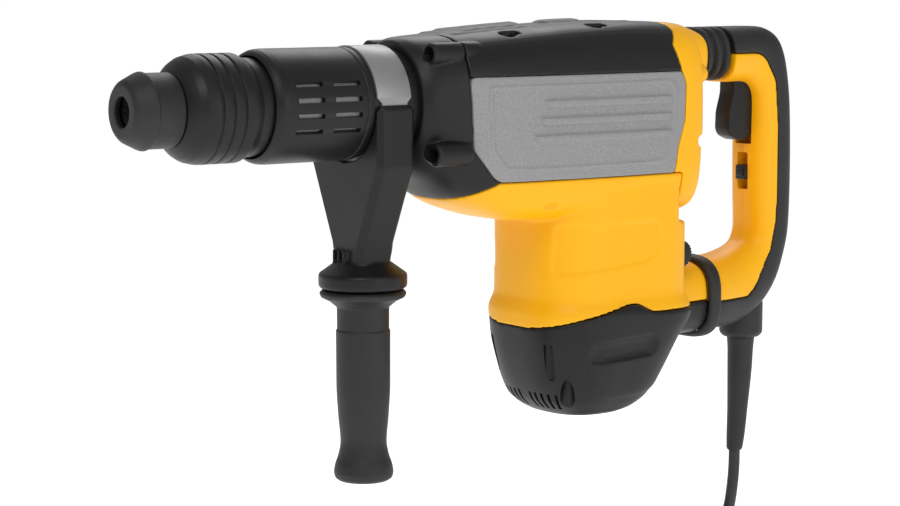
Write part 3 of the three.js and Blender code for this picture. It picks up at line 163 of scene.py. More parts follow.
def drift_group():
    tree, start, end = group("Drift")
    socket(tree, "Color", "NodeSocketColor", "INPUT")
    socket(tree, "Scale", "NodeSocketFloat", "INPUT", 25)
    socket(tree, "Amount", "NodeSocketFloat", "INPUT", 0.06)
    socket(tree, "Color", "NodeSocketColor", "OUTPUT")
    place = node(tree, "TexCoord")
    noise = node(tree, "TexNoise", {"Detail": 4})
    centre = node(tree, "Math", {1: 0.5}, operation="SUBTRACT")
    gain = node(tree, "Math", {2: 1.0}, operation="MULTIPLY_ADD")
    tint = node(tree, "HueSaturation")
    return wire(
        tree,
        (place.outputs["Object"], noise.inputs["Vector"]),
        (start.outputs["Scale"], noise.inputs["Scale"]),
        (noise.outputs["Fac"], centre.inputs[0]),
        (centre.outputs[0], gain.inputs[0]),
        (start.outputs["Amount"], gain.inputs[1]),
        (gain.outputs[0], tint.inputs["Value"]),
        (start.outputs["Color"], tint.inputs["Color"]),
        (tint.outputs["Color"], end.inputs["Color"]),
    )


def wear_group():
    tree, start, end = group("Worn edges")
    socket(tree, "Color", "NodeSocketColor", "INPUT")
    socket(tree, "Worn color", "NodeSocketColor", "INPUT")
    socket(tree, "Amount", "NodeSocketFloat", "INPUT", 0.25)
    socket(tree, "Color", "NodeSocketColor", "OUTPUT")
    shape = node(tree, "NewGeometry")
    edge = node(tree, "MapRange", {"From Min": 0.52, "From Max": 0.62})
    share = node(tree, "Math", operation="MULTIPLY")
    mix = node(tree, "Mix", data_type="RGBA")
    return wire(
        tree,
        (shape.outputs["Pointiness"], edge.inputs["Value"]),
        (edge.outputs["Result"], share.inputs[0]),
        (start.outputs["Amount"], share.inputs[1]),
        (share.outputs[0], mix.inputs["Factor"]),
        (start.outputs["Color"], mix.inputs["A"]),
        (start.outputs["Worn color"], mix.inputs["B"]),
        (mix.outputs["Result"], end.inputs["Color"]),
    )


GRAIN = grain_group()
DRIFT = drift_group()
WEAR = wear_group()
print("groups:", GRAIN.name, DRIFT.name, WEAR.name)

# %% One recipe for every finish
def speckled(tree, place, color, speck):
    """Scatters fine dots of a second colour over the first."""
    dots = node(tree, "TexNoise", {"Scale": 1400, "Detail": 1})
    ramp = node(tree, "ValToRGB")
    ramp.color_ramp.elements[0].position = 0.42
    ramp.color_ramp.elements[1].position = 0.62
    mix = node(tree, "Mix", data_type="RGBA")
    mix.inputs["B"].default_value = (*speck, 1)
    wire(
        tree,
        (place, dots.inputs["Vector"]),
        (dots.outputs["Fac"], ramp.inputs["Fac"]),
        (ramp.outputs["Color"], mix.inputs["Factor"]),
        (color, mix.inputs["A"]),
    )
    return mix.outputs["Result"]


def finish_of(name, color, roughness, metallic=0.0, grain=900, bump=0.1, pits=0.3, worn=None, speck=None,
              brushed=None, gloss=0.5):
    material = bpy.data.materials.new(name)
    material.use_nodes = True
    tree = material.node_tree
    shader = tree.nodes["Principled BSDF"]
    shader.inputs["Metallic"].default_value = metallic
    shader.inputs["Specular IOR Level"].default_value = gloss
    place = node(tree, "TexCoord").outputs["Object"]

    tone = node(tree, "Group", node_tree=DRIFT)
    tone.inputs["Color"].default_value = (*color, 1)
    out = tone.outputs["Color"]
    if speck:
        out = speckled(tree, place, out, speck)
    if worn:
        edges = node(tree, "Group", node_tree=WEAR)
        edges.inputs["Worn color"].default_value = (*worn, 1)
        wire(tree, (out, edges.inputs["Color"]))
        out = edges.outputs["Color"]
    wire(tree, (out, shader.inputs["Base Color"]))

    patches = node(tree, "TexNoise", {"Scale": 60, "Detail": 5})
    spread = node(tree, "MapRange", {"To Min": max(roughness - 0.07, 0.05), "To Max": roughness + 0.07})
    wire(
        tree,
        (place, patches.inputs["Vector"]),
        (patches.outputs["Fac"], spread.inputs["Value"]),
        (spread.outputs["Result"], shader.inputs["Roughness"]),
    )

    raised = node(tree, "Bump", {"Strength": bump, "Distance": 0.0004})
    if brushed:
        lines = node(tree, "TexNoise", {"Scale": 300})
        stretch = node(tree, "Mapping", {"Scale": brushed})
        wire(tree, (place, stretch.inputs["Vector"]), (stretch.outputs["Vector"], lines.inputs["Vector"]))
        height = lines.outputs["Fac"]
    else:
        surface = node(tree, "Group", node_tree=GRAIN)
        surface.inputs["Scale"].default_value = grain
        surface.inputs["Pits"].default_value = pits
        height = surface.outputs["Height"]
    wire(tree, (height, raised.inputs["Height"]), (raised.outputs["Normal"], shader.inputs["Normal"]))
    return material


YELLOW = finish_of("yellow shell", (0.95, 0.46, 0.002), 0.42, grain=1300, bump=0.09, worn=(1.0, 0.6, 0.05),
                   gloss=0.28)
BLACK = finish_of("black moulding", (0.0075, 0.0075, 0.008), 0.42, grain=1500, bump=0.14, worn=(0.06, 0.06, 0.06),
                  gloss=0.3)
RUBBER = finish_of("black soft grip", (0.008, 0.008, 0.0083), 0.55, grain=1100, bump=0.3, pits=0.8,
                   worn=(0.03, 0.03, 0.03))
CORD_JACKET = finish_of("cord jacket", (0.014, 0.014, 0.0145), 0.5, grain=900, bump=0.15)
PANEL = finish_of("speckled grey panel", (0.235, 0.235, 0.24), 0.55, grain=1600, bump=0.3, speck=(0.30, 0.30, 0.305),
                  worn=(0.42, 0.42, 0.42))
CAST = finish_of("cast alloy", (0.33, 0.33, 0.34), 0.55, metallic=0.6, grain=700, bump=0.4, pits=0.9)
BAND = finish_of("drawn band steel", (0.30, 0.30, 0.305), 0.42, metallic=0.55, bump=0.08, brushed=(1, 14, 14))
BRIGHT = finish_of("turned steel", (0.55, 0.55, 0.56), 0.28, metallic=1.0, bump=0.05, brushed=(30, 1, 1))
DARK = finish_of("blackened steel", (0.08, 0.08, 0.085), 0.4, metallic=0.9, bump=0.15, worn=(0.3, 0.3, 0.3))
COPPER = finish_of("turned copper", (0.62, 0.27, 0.13), 0.3, metallic=1.0, bump=0.05, brushed=(1, 1, 40))

FINISH = {
    "black_plastic": BLACK,
    "black_rubber": RUBBER,
    "cord_rubber": CORD_JACKET,
    "yellow_plastic": YELLOW,
    "panel_grey": PANEL,
    "grey_casting": CAST,
    "band_steel": BAND,
    "bright_steel": BRIGHT,
    "dark_steel": DARK,
    "copper": COPPER,
}
SLOT_OF = {part["node"]: part["material_slot"] for part in frame["record"]["subparts"]}
for part, obj in frame["nodes"].items():
    obj.data.materials.clear()
    obj.data.materials.append(FINISH[SLOT_OF[part]])
print("finishes:", len(FINISH))

# %% [markdown]
# ## The cord
#
# The lead leaves its sleeve, hangs straight down and meets the floor, where the rest of its four metres is wound in a
# neat coil with the plug beside it. A coil is a loop in code: each turn lies beside or on the last, one diameter
# away. The uncoiled points are listed.

# %% Cord route
CORD_R = 4.0
FLOOR_Z = -361.0
COIL_X = 270.0
COIL_Y = 56.0
LAP_RADII = (56.0, 48.0, 40.0)
ROWS = 4
STEP_START = 150  # every lap steps to the next layer in the same third of the circle
STEP_SPAN = 120

HANGING = [
    (316.5, 0, -256.3),
    (316.5, 0, -265),
    (316, 0.2, -276),
    (315.4, 1.2, -287),
    (316, 4, -298),
    (316.6, 9, -308),
    (317, 16.5, -316),
    (317, 26, -321),
    (316.6, 36, -323.4),
    (315.6, 46, -324),
]
TAIL = [
    (205.3, 55.9, -357),
    (202, 49.4, -357),
    (199.3, 42.5, -356.4),
    (197.6, 35, -354.6),
    (197, 27, -352.6),
    (197, 19, -352),
    (197, 13, -352),
]


def row_z(row):
    return FLOOR_Z + CORD_R + 2 * CORD_R * row


def on_circle(angle, radius, z):
    turn = math.radians(angle)
    return (COIL_X + radius * cos(turn), COIL_Y + radius * sin(turn), z)


def smooth(share):
    return share * share * (3 - 2 * share)


def entry_points():
    """The first stretch lies on top of the coil, then slips down outside it."""
    points = [on_circle(a, 46.7 + 1.3 * min(1, (a + 6) / 60), row_z(ROWS)) for a in range(-6, STEP_START, 6)]
    for a in range(0, STEP_SPAN, 6):
        share = smooth(a / STEP_SPAN)
        if share < 0.5:
            spot = (48 + 8 * share, row_z(ROWS))
        else:
            lean = math.radians(90 - 180 * (share - 0.5))
            spot = (56 - 8 * share + 8 * cos(lean), row_z(ROWS - 1) + 8 * sin(lean))
        points.append(on_circle(STEP_START + a, *spot))
    return points


def lap_points():
    """Rows of three laps, each row wound the other way from the one above it."""
    laps = []
    for row in reversed(range(ROWS)):
        radii = LAP_RADII if (ROWS - row) % 2 else LAP_RADII[::-1]
        laps += [(radius, row) for radius in radii]
    points = []
    for (radius, row), (next_radius, next_row) in zip(laps, laps[1:] + [laps[-1]]):
        plain = 360 - STEP_SPAN
        points += [on_circle(a - 90, radius, row_z(row)) for a in range(0, plain, 6)]
        if (radius, row) == laps[-1]:
            break
        bulge = 0 if next_row == row else (4.5 if radius > 48 else -4.5)
        for a in range(0, STEP_SPAN, 6):
            share = smooth(a / STEP_SPAN)
            middle = radius + (next_radius - radius) * share + bulge * sin(pi * a / STEP_SPAN)
            height = row_z(row) + (row_z(next_row) - row_z(row)) * share
            points.append(on_circle(STEP_START + a, middle, height))
    return points


def smoothed(points, times):
    """Rounds the listed points into one curve, keeping its ends."""
    for _ in range(times):
        finer = [points[0]]
        for a, b in zip(points, points[1:]):
            finer.append(tuple(0.75 * p + 0.25 * q for p, q in zip(a, b)))
            finer.append(tuple(0.25 * p + 0.75 * q for p, q in zip(a, b)))
        points = finer + [points[-1]]
    return points


leaving = [on_circle(STEP_START, LAP_RADII[0], row_z(0))]
route = smoothed(HANGING[:-1] + entry_points()[:2], 2) + entry_points()[2:] + lap_points()
route += smoothed(leaving + TAIL, 2)


# %% The cord itself
def cord_curve(name, points):
    made = bpy.data.curves.new(name, "CURVE")
    made.dimensions = "3D"
    made.bevel_depth = CORD_R * MM
    made.bevel_resolution = 5
    made.use_fill_caps = True
    spline = made.splines.new("POLY")
    spline.points.add(len(points) - 1)
    for spot, (x, y, z) in zip(spline.points, points):
        spot.co = (x * MM, y * MM, z * MM, 1)
    obj = bpy.data.objects.new(name, made)
    bpy.context.scene.collection.objects.link(obj)
    obj.data.materials.append(CORD_JACKET)
    return obj


cord = cord_curve("cord_lead", route)
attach(cord, "housing")
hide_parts("cord", "cord_coil", "cord_tail")

# %% [markdown]
# ## Ways to make a shell
#
# Four ways cover the whole tool. A *spin* turns a profile round an axis, for all that is round. A *skin* runs
# through oval sections, for the casing and the handle, whose sections change from round to boxy. A *prism* gives a
# flat outline some thickness, to cut or keep part of a skin. Then a voxel remesh welds what was joined, and a few
# smoothing passes leave edges as round as a mould leaves them.

# %% Spins, skins and prisms
def mesh_object(name, points, faces=(), edges=()):
    data = bpy.data.meshes.new(name)
    data.from_pydata([tuple(metres(*p)) for p in points], edges, faces)
    obj = bpy.data.objects.new(name, data)
    bpy.context.scene.collection.objects.link(obj)
    return obj


def outward(obj):
    pick(obj)
    bpy.ops.object.mode_set(mode="EDIT")
    bpy.ops.mesh.select_all(action="SELECT")
    bpy.ops.mesh.remove_doubles(threshold=1e-6)
    bpy.ops.mesh.normals_make_consistent(inside=False)
    bpy.ops.object.mode_set(mode="OBJECT")
    return obj


def spun(name, profile, axis="X", centre=(0, 0, 0), steps=96):
    """A profile of (along, radius) pairs, turned about an axis. It closes if its ends lie on the axis."""
    along = {"X": Vector((1, 0, 0)), "Y": Vector((0, 1, 0)), "Z": Vector((0, 0, 1))}[axis]
    out = Vector((0, 0, 1)) if axis == "X" else Vector((1, 0, 0))
    middle = Vector(centre)
    points = [middle + along * a + out * r for a, r in profile]
    obj = mesh_object(name, points, edges=[(i, i + 1) for i in range(len(points) - 1)])
    pick(obj)
    bpy.ops.object.mode_set(mode="EDIT")
    bpy.ops.mesh.select_all(action="SELECT")
    bpy.ops.mesh.spin(steps=steps, angle=2 * pi, center=tuple(middle * MM), axis=tuple(along), use_auto_merge=True)
    bpy.ops.object.mode_set(mode="OBJECT")
    return outward(obj)


def rounded(profile, size=0.8, steps=4, closed=True):
    """Rounds the corners of a profile, so that a turned edge catches the light."""
    points = [Vector(p) for p in profile]
    made = []
    count = len(points)
    for i, p in enumerate(points):
        if not closed and i in (0, count - 1):
            made.append(p)
            continue
        before, after = points[i - 1] - p, points[(i + 1) % count] - p
        cut = min(size, before.length * 0.45, after.length * 0.45)
        a, b = p + before.normalized() * cut, p + after.normalized() * cut
        for s in range(steps + 1):
            t = s / steps
            made.append(a * (1 - t) ** 2 + p * 2 * t * (1 - t) + b * t * t)
    if closed:
        made.append(made[0])
    return [tuple(p) for p in made]


def corners(outline, size, steps=4):
    """The same for the outline of a prism, which closes by itself."""
    return rounded(outline, size, steps)[:-1]


def easing(xs, ys, x):
    """A smooth curve through the points (xs, ys) that never overshoots them."""
    slopes = [(ys[i + 1] - ys[i]) / (xs[i + 1] - xs[i]) for i in range(len(xs) - 1)]
    ends = [slopes[0]] + [
        0 if a * b <= 0 else 2 * a * b / (a + b) for a, b in zip(slopes, slopes[1:])
    ] + [slopes[-1]]
    i = max(0, min(len(slopes) - 1, sum(1 for v in xs[1:-1] if v <= x)))
    h = xs[i + 1] - xs[i]
    t = (x - xs[i]) / h
    return (
        ys[i] * (1 + 2 * t) * (1 - t) ** 2
        + ends[i] * h * t * (1 - t) ** 2
        + ys[i + 1] * t * t * (3 - 2 * t)
        + ends[i + 1] * h * t * t * (t - 1)
    )


def reach_of(c, s, power):
    """How far a boxy circle of radius 1 reaches along the direction (c, s): round at power 2, boxier as it grows."""
    return (abs(c) ** power + abs(s) ** power) ** (-1 / power)


def directions(count):
    angles = [2 * pi * (i + 0.5) / count for i in range(count)]
    return [(cos(angle), sin(angle)) for angle in angles]


def oval(count, half, up, down, power):
    points = []
    for c, s in directions(count):
        reach = reach_of(c, s, power)
        points.append((half * reach * c, (up if s > 0 else down) * reach * s))
    return points


def skinned(name, rings):
    """A closed skin through rings that all have the same count of points."""
    count = len(rings[0])
    points = [p for ring in rings for p in ring]
    faces = []
    for k in range(len(rings) - 1):
        for i in range(count):
            j = (i + 1) % count
            faces.append((k * count + i, k * count + j, (k + 1) * count + j, (k + 1) * count + i))
    faces.append(tuple(reversed(range(count))))
    faces.append(tuple((len(rings) - 1) * count + i for i in range(count)))
    return outward(mesh_object(name, points, faces))


def between(stations, place, steps):
    """Adds eased stations between the given ones. Each is a tuple whose item `place` only grows or only falls."""
    keys = [s[place] for s in stations]
    turn = 1 if keys[-1] > keys[0] else -1
    made = []
    for a, b in zip(keys, keys[1:]):
        made += [a + (b - a) * s / steps for s in range(steps)]
    made.append(keys[-1])
    ordered = [turn * k for k in keys]
    return [tuple(easing(ordered, [s[i] for s in stations], turn * k) for i in range(len(stations[0]))) for k in made]


def skin_x(name, stations, inset=0.0, count=96, steps=8):
    """Stations along X: (x, half width, top, bottom, middle, power)."""
    rings = []
    for x, half, top, bottom, middle, power in between(stations, 0, steps):
        section = oval(count, half - inset, top - inset - middle, middle - bottom - inset, power)
        rings.append([(x, y, middle + z) for y, z in section])
    return skinned(name, rings)


def skin_z(name, stations, count=96, steps=8):
    """Stations along Z: (z, front x, rear x, half width, power)."""
    rings = []
    for z, front, rear, half, power in between(stations, 0, steps):
        section = oval(count, (rear - front) / 2, half, half, power)
        rings.append([((front + rear) / 2 + x, y, z) for x, y in section])
    return skinned(name, rings)


def prism(name, outline, low=-FAR, high=FAR):
    """A flat outline of (x, z) pairs, given thickness along Y."""
    count = len(outline)
    points = [(x, low, z) for x, z in outline] + [(x, high, z) for x, z in outline]
    faces = [tuple(range(count)), tuple(reversed(range(count, 2 * count)))]
    faces += [(i, (i + 1) % count, count + (i + 1) % count, count + i) for i in range(count)]
    return outward(mesh_object(name, points, faces))


def block(name, low, high, soften=0.0):
    low, high = metres(*low), metres(*high)
    bpy.ops.mesh.primitive_cube_add(size=1, location=(low + high) / 2)
    obj = bpy.context.object
    obj.name = name
    obj.scale = high - low
    bpy.ops.object.transform_apply(location=True, rotation=True, scale=True)
    if soften:
        bpy.ops.object.mode_set(mode="EDIT")
        bpy.ops.mesh.select_all(action="SELECT")
        bpy.ops.mesh.bevel(offset=soften * MM, segments=4, affect="EDGES")
        bpy.ops.object.mode_set(mode="OBJECT")
    return obj


def peg(name, axis, centre, low, high, radius, steps=40):
    return spun(name, [(low, 0), (low, radius), (high, radius), (high, 0)], axis, centre, steps)


def modified(obj, kind, **values):
    pick(obj)
    step = obj.modifiers.new(kind.title(), kind)
    for key, value in values.items():
        setattr(step, key, value)
    bpy.ops.object.modifier_apply(modifier=step.name)
    return obj


def carve(obj, operation, *tools):
    for tool in tools:
        modified(obj, "BOOLEAN", operation=operation, object=tool, solver="EXACT")
        bpy.data.objects.remove(tool)
    return obj


def cut(obj, *tools):
    return carve(obj, "DIFFERENCE", *tools)


def keep(obj, *tools):
    return carve(obj, "INTERSECT", *tools)


def gathered(obj, *others):
    pick(obj, *others)
    bpy.ops.object.join()
    return obj


def twin(obj, name):
    pick(obj)
    bpy.ops.object.duplicate()
    made = bpy.context.object
    made.name = name
    return made


def welded(obj, voxel):
    """Turns joined pieces, which may cross each other, into one skin."""
    return modified(obj, "REMESH", mode="VOXEL", voxel_size=voxel * MM)


def moulded(obj, voxel, passes):
    """Welds an object and rounds its edges by about one voxel."""
    return modified(welded(obj, voxel), "SMOOTH", factor=0.5, iterations=passes)


def placed(obj, body, slot, *nodes, smooth_angle=180):
    pick(obj)
    obj.data.materials.clear()
    obj.data.materials.append(FINISH[slot])
    if smooth_angle < 180:
        bpy.ops.object.shade_smooth_by_angle(angle=math.radians(smooth_angle))
    else:
        bpy.ops.object.shade_smooth()
    if body:
        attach(obj, body)
    if nodes:
        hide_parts(*nodes)
    print(obj.name, len(obj.data.polygons), "faces")
    return obj


# %% [markdown]
# ## The nose
#
# The dust cap is soft rubber, so its rim is rounded more than a metal part's would be. Behind it the locking sleeve
# flares out in one easy curve and carries three fine grip lines. Both are round, so both are spins.

# %% Dust cap and locking sleeve
CAP_PROFILE = [
    (-168, 9.2), (-168, 16), (-165.8, 18.6), (-157, 22.8), (-155, 23.4), (-154.4, 22.4), (-137, 22.4),
    (-137, 15.4), (-163, 15.4), (-163, 11.2), (-165.5, 9.2),
]
GROOVES = (-118.3, -110.5, -102.7)


def sleeve_profile():
    points = [(-136.7, 19.3), (-136.7, 22.6), (-134, 26.2), (-131.2, 29), (-127.2, 31.4), (-122, 32.7)]
    for x in GROOVES:
        points += [(x - 0.9, 33), (x - 0.35, 32), (x + 0.35, 32), (x + 0.9, 33)]
    return points + [(-95, 33), (-89, 29.8), (-76, 29.8), (-76, 27), (-130.7, 27), (-130.7, 19.3)]


nose_cap = spun("nose_cap", rounded(CAP_PROFILE, 1.0), steps=128)
placed(nose_cap, "spindle", "black_rubber", "dust_cap", smooth_angle=50)
grip_sleeve = spun("grip_sleeve", rounded(sleeve_profile(), 0.8, 3), steps=128)
placed(grip_sleeve, "sleeve", "black_plastic", "locking_sleeve", smooth_angle=50)

# %% [markdown]
# ## The barrel and its shroud
#
# The shroud is a thin moulded tube. Its slots let heat out and show the casting under it, so they are really cut:
# all the cutters are gathered into one object first, which leaves a single boolean to compute.

# %% Shroud and barrel
SHROUD_PROFILE = [
    (-82, 31), (-82, 31.8), (-80.4, 33.4), (-77.6, 34.6), (-73.5, 35), (-19, 35), (-18.6, 34.6), (-18.2, 34.6),
    (-17.8, 35), (-13.8, 35), (-13.8, 31.4), (-79, 31.4),
]
SLOT_ANGLES = (-24, -8, 8, 24)


def slot_cutters():
    cutters = []
    for side in (0, 180):
        for x in (-69, -42):
            for angle in SLOT_ANGLES:
                cutter = block("slot", (x, 28, -1.5), (x + 19.5, 39, 1.5), soften=0.6)
                cutter.data.transform(Matrix.Rotation(math.radians(side + angle), 4, "X"))
                cutters.append(cutter)
    return gathered(*cutters)


shroud = cut(spun("vented_shroud", rounded(SHROUD_PROFILE, 0.5, 3), steps=160), slot_cutters())
placed(shroud, "housing", "black_plastic", "barrel_shroud", smooth_angle=35)
BARREL_PROFILE = [(-66, 24.3), (-66, 31.1), (-13.5, 31.1), (-13.5, 33), (48, 33), (48, 24.3)]
barrel = spun("barrel_casting", rounded(BARREL_PROFILE, 0.6), steps=128)
placed(barrel, "housing", "grey_casting", "barrel_tube", smooth_angle=40)
SEAT_PROFILE = [(-13.4, 33.1), (-13.4, 33.6), (22, 33.6), (22, 33.1)]
seat = spun("clamp_seat", rounded(SEAT_PROFILE, 0.2, 2), steps=128)
placed(seat, "housing", "black_plastic", smooth_angle=40)

# %% [markdown]
# ## The side handle
#
# A steel band hugs the barrel, a moulded saddle sits under it and a long bolt pulls the two together when the grip is
# screwed up. The saddle tapers from the width of the barrel to a round neck, which is two shapes crossed: a slab seen
# from the front and a skin along its height.

# %% Band
BAND_PROFILE = [(-12.4, 33.8), (-12.4, 35.8), (12.4, 35.8), (12.4, 33.8)]


def band_corners(side):
    outline = [(12.6, 4.8), (12.6, -60), (9.2, -60), (9.2, 1.4)]
    return prism("corner", [(side * x, z) for x, z in outline])


clamp_ring = spun("clamp_ring", rounded(BAND_PROFILE, 0.3, 2), steps=160)
cut(clamp_ring, band_corners(1), band_corners(-1))
lug = block("lug", (-9, -9.5, -47), (9, 9.5, -34.6), soften=0.8)
cut(lug, block("room", (-6.8, -40, -42.3), (6.8, 40, -34)), peg("hole", "Z", (0, 0, 0), -50, -30, 4.3))
gathered(clamp_ring, lug)
placed(clamp_ring, "side_handle", "band_steel", "clamp_band", smooth_angle=35)

# %% Saddle
SADDLE_FRONT = [
    (-39.5, 1), (-39.5, -38), (-17, -88), (-15.5, -103), (15.5, -103), (17, -88), (39.5, -38), (39.5, 1),
]
SADDLE_LEVELS = [
    (20, -15.6, 15.6, 80, 8), (-60, -15.6, 15.6, 60, 6), (-86, -15.5, 15.5, 21.5, 3), (-103, -15.5, 15.5, 17.5, 2),
]
FLANGE = [(-98, 0), (-98, 16), (-106.5, 27.9), (-114, 27.9), (-115.5, 26.4), (-115.5, 0)]


def saddle():
    slab = prism("saddle", SADDLE_FRONT, -13.6, 13.6)
    slab.data.transform(Matrix.Rotation(pi / 2, 4, "Z"))
    modified(slab, "BEVEL", width=3.4 * MM, segments=1, limit_method="ANGLE", angle_limit=math.radians(60))
    keep(slab, skin_z("neck", SADDLE_LEVELS))
    fins = [block("fin", (-17.5, y - 0.7, -104), (-12, y + 0.7, -91), soften=0.3) for y in (-3, 2.5, 8)]
    rim = spun("flange", rounded(FLANGE, 1.2, closed=False), "Z")
    cut(slab, peg("ring", "X", (0, 0, 0), -60, 60, 36.1, 128))
    gathered(slab, rim, *fins)
    moulded(slab, 0.8, 3)
    cut(slab, block("room", (-9.8, -9.8, -47.3), (9.8, 9.8, -20)), peg("bolt", "Z", (0, 0, 0), -118, -20, 5))
    return slab


clamp_saddle = saddle()
placed(clamp_saddle, "side_handle", "black_plastic", "clamp_bracket")

# %% Grip
GRIP_TOP = [
    (-116.5, 4.3), (-116.5, 25.4), (-118.5, 27.4), (-121, 26.5), (-123.5, 21.4), (-127.5, 16.5), (-141.5, 16.4),
    (-142.3, 17.1),
]
GRIP_WAIST = [(142.3, 17.1), (176.5, 17), (196.5, 15.9), (213, 14.6), (221, 15.9), (228, 18.2), (233, 19)]
GRIP_END = [(-235.6, 18.2), (-237.4, 16), (-238, 12.5), (-238, 0), (-175, 0), (-175, 4.3)]


def grip_profile():
    keys, radii = zip(*GRIP_WAIST)
    waist = [(-142.3 - 2 * i, easing(keys, radii, 142.3 + 2 * i)) for i in range(1, 46)]
    return GRIP_TOP + waist + GRIP_END


side_grip = spun("side_grip_cover", rounded(grip_profile(), 0.8, 3, closed=False) + [GRIP_TOP[0]], "Z", steps=128)
placed(side_grip, "grip", "black_rubber", "side_grip", smooth_angle=60)

# %% [markdown]
# ## The casing
#
# One skin runs along the tool, and every shell of the casing is a cut from it, so the shells stay flush. The parting
# lines are drawn from the side as flat outlines. Only when a shell has its ribs, bosses and recesses is it welded and
# softened; its hollow is cut last, so that the inside stays simple.

# %% The skin of the casing and its parting lines
BODY = [
    (20, 37.6, 37.8, -38, 0, 2), (26, 41, 40.2, -44, 0, 2.2), (37, 44, 41, -51.5, -2, 2.6),
    (50, 47, 41.7, -62.5, -5, 3), (70, 50, 42.8, -71, -10, 3.6), (100, 52, 44.8, -78, -14, 4), (155, 52.5, 47.6, -79, -16, 4.4),
    (190, 52, 48.5, -79, -16, 4.4), (226, 51, 47.5, -79, -16, 4.4), (238, 48.5, 46.5, -79, -16, 4),
    (244, 43, 43.5, -79, -16, 3.4),
]
FRONT_LINE = [(50, 80), (50, 10), (52, -29), (68, -48), (73, -50.6)]
BELLY_LINE = [(73, -50.6), (50, -61.5), (46, -90)]
PANEL_END = [(213.6, -50.6), (215.4, -34.7), (221.3, -16.2), (222.4, 8), (219, 16)]
COVER_END = [(219, 16), (213.5, 33), (219.5, 42), (219, 80)]
SEAM = 0.25  # half the gap between two shells
WALL = 3.2


def casing(name, inset=0.0):
    return skin_x(name, BODY, inset, steps=6)


def shifted(line, x=0.0, z=0.0):
    return [(px + x, pz + z) for px, pz in line]


def inside_casing(low, high):
    return keep(casing("room", WALL), block("room end", low, high))


# %% Front case
def boss(x0, x1, y, z, radius, dome=False):
    end = [(x1, radius), (x1, 0)] if not dome else [(x1 - 5, radius), (x1 - 1.5, radius * 0.75), (x1, 0)]
    shape = [(x0, 0), (x0, radius)] + end
    return spun("boss", rounded(shape, 1.5, closed=False), centre=(0, y, z), steps=40)


UPPER_BOSS = (34, 30.5, 7)
LOWER_BOSS = (43, -31, 7.5)
FAIRING = [(16, 1, -30, -32, -31, 2), (26, 6.5, -25, -37, -31, 2), (36, 7.4, -24, -38, -31, 2)]


def front_case():
    region = [(0, 80)] + shifted(FRONT_LINE + BELLY_LINE[1:], -SEAM) + [(0, -90)]
    shell = keep(casing("front_casing"), prism("region", region))
    extras = []
    for side in (-1, 1):
        extras.append(boss(26.7, 50 - SEAM, side * UPPER_BOSS[0], UPPER_BOSS[1], UPPER_BOSS[2]))
        extras.append(boss(23.5, 50 - SEAM, side * LOWER_BOSS[0], LOWER_BOSS[1], LOWER_BOSS[2]))
        fairing = skin_x("fairing", FAIRING)
        fairing.data.transform(Matrix.Translation(metres(0, side * LOWER_BOSS[0] - side * 3, 0)))
        extras.append(keep(fairing, block("limit", (21, -80, -80), (36, 80, 80))))
    gathered(shell, *extras)
    moulded(shell, 1.0, 3)
    holes = [peg("seat", "X", (0, 0, 0), 0, 49, 33.8, 96), peg("bore", "X", (0, 0, 0), 0, 90, 24.3, 96)]
    for side in (-1, 1):
        holes.append(peg("hole", "X", (0, side * UPPER_BOSS[0], UPPER_BOSS[1]), 20, 42.7, 4.8))
        holes.append(peg("hole", "X", (0, side * LOWER_BOSS[0], LOWER_BOSS[1]), 15, 39.5, 4.8))
    return cut(shell, *holes)


front_casing = front_case()
placed(front_casing, "housing", "black_plastic", "front_case", smooth_angle=50)

# %% [markdown]
# ## The top cover
#
# The cover carries the air slats, four deep screw pockets, the rear half of the upper bosses and the recess for the
# mode selector.

# %% Top cover
HUMP = [(126, 2, 40, 30, 34, 2), (140, 15, 49.6, 30, 36, 2), (166, 17, 50.2, 30, 36, 2), (178, 3, 44, 30, 34, 2)]
KNOB_SPOT = (200, 0, 0)


def air_slat(i):
    y = 3.6 * i
    return block("slat", (62 + abs(i), y - 1.1, 20), (120 + 2 * i, y + 1.1, 60), 0.4)


def screw_pocket(x, y):
    """A round hole that runs out backwards, so that a screwdriver reaches the screw."""
    drop = spun("pocket", [(30, 0), (30, 5.5), (80, 5.5), (80, 0)], "Z", (x, y, 0), 40)
    tail = prism("pocket tail", [(x - 4, 30), (x - 4, 80), (x + 9, 80), (x + 9, 38)], y - 4, y + 4)
    return [drop, tail]


def top_cover():
    region = shifted([(50, 80), (50, 16)], SEAM) + shifted(COVER_END, -SEAM)
    shell = casing("air_cover")
    plateau = keep(casing("plateau", -1.0), block("plateau end", (56, -19, 30), (124, 19, 60), 3))
    grown = keep(gathered(*[air_slat(i) for i in range(-4, 5)]), casing("proud", -2.2))
    gathered(shell, plateau, grown)
    tools = []
    extras = []
    for side in (-1, 1):
        extras.append(boss(50, 67, side * UPPER_BOSS[0], UPPER_BOSS[1], UPPER_BOSS[2], dome=True))
        tools += screw_pocket(90, side * 30) + screw_pocket(160, side * 30)
    gathered(shell, skin_x("hump", HUMP), *extras)
    welded(shell, 1.0)
    tools.append(spun("selector room", [(40.5, 0), (40.5, 17.5), (80, 20), (80, 0)], "Z", KNOB_SPOT, 64))
    cut(shell, *tools)
    keep(shell, prism("region", region))
    moulded(shell, 0.9, 3)
    room = keep(inside_casing((56, -FAR, 0), (212, FAR, 60)), block("under selector", (0, -FAR, 0), (172, FAR, 60)))
    return cut(shell, room, peg("post", "Z", KNOB_SPOT, 10, 60, 4.3), peg("bore", "X", (0, 0, 0), 40, FAR, 26, 96))


air_cover = top_cover()
placed(air_cover, "housing", "black_plastic", "top_cover", smooth_angle=50)

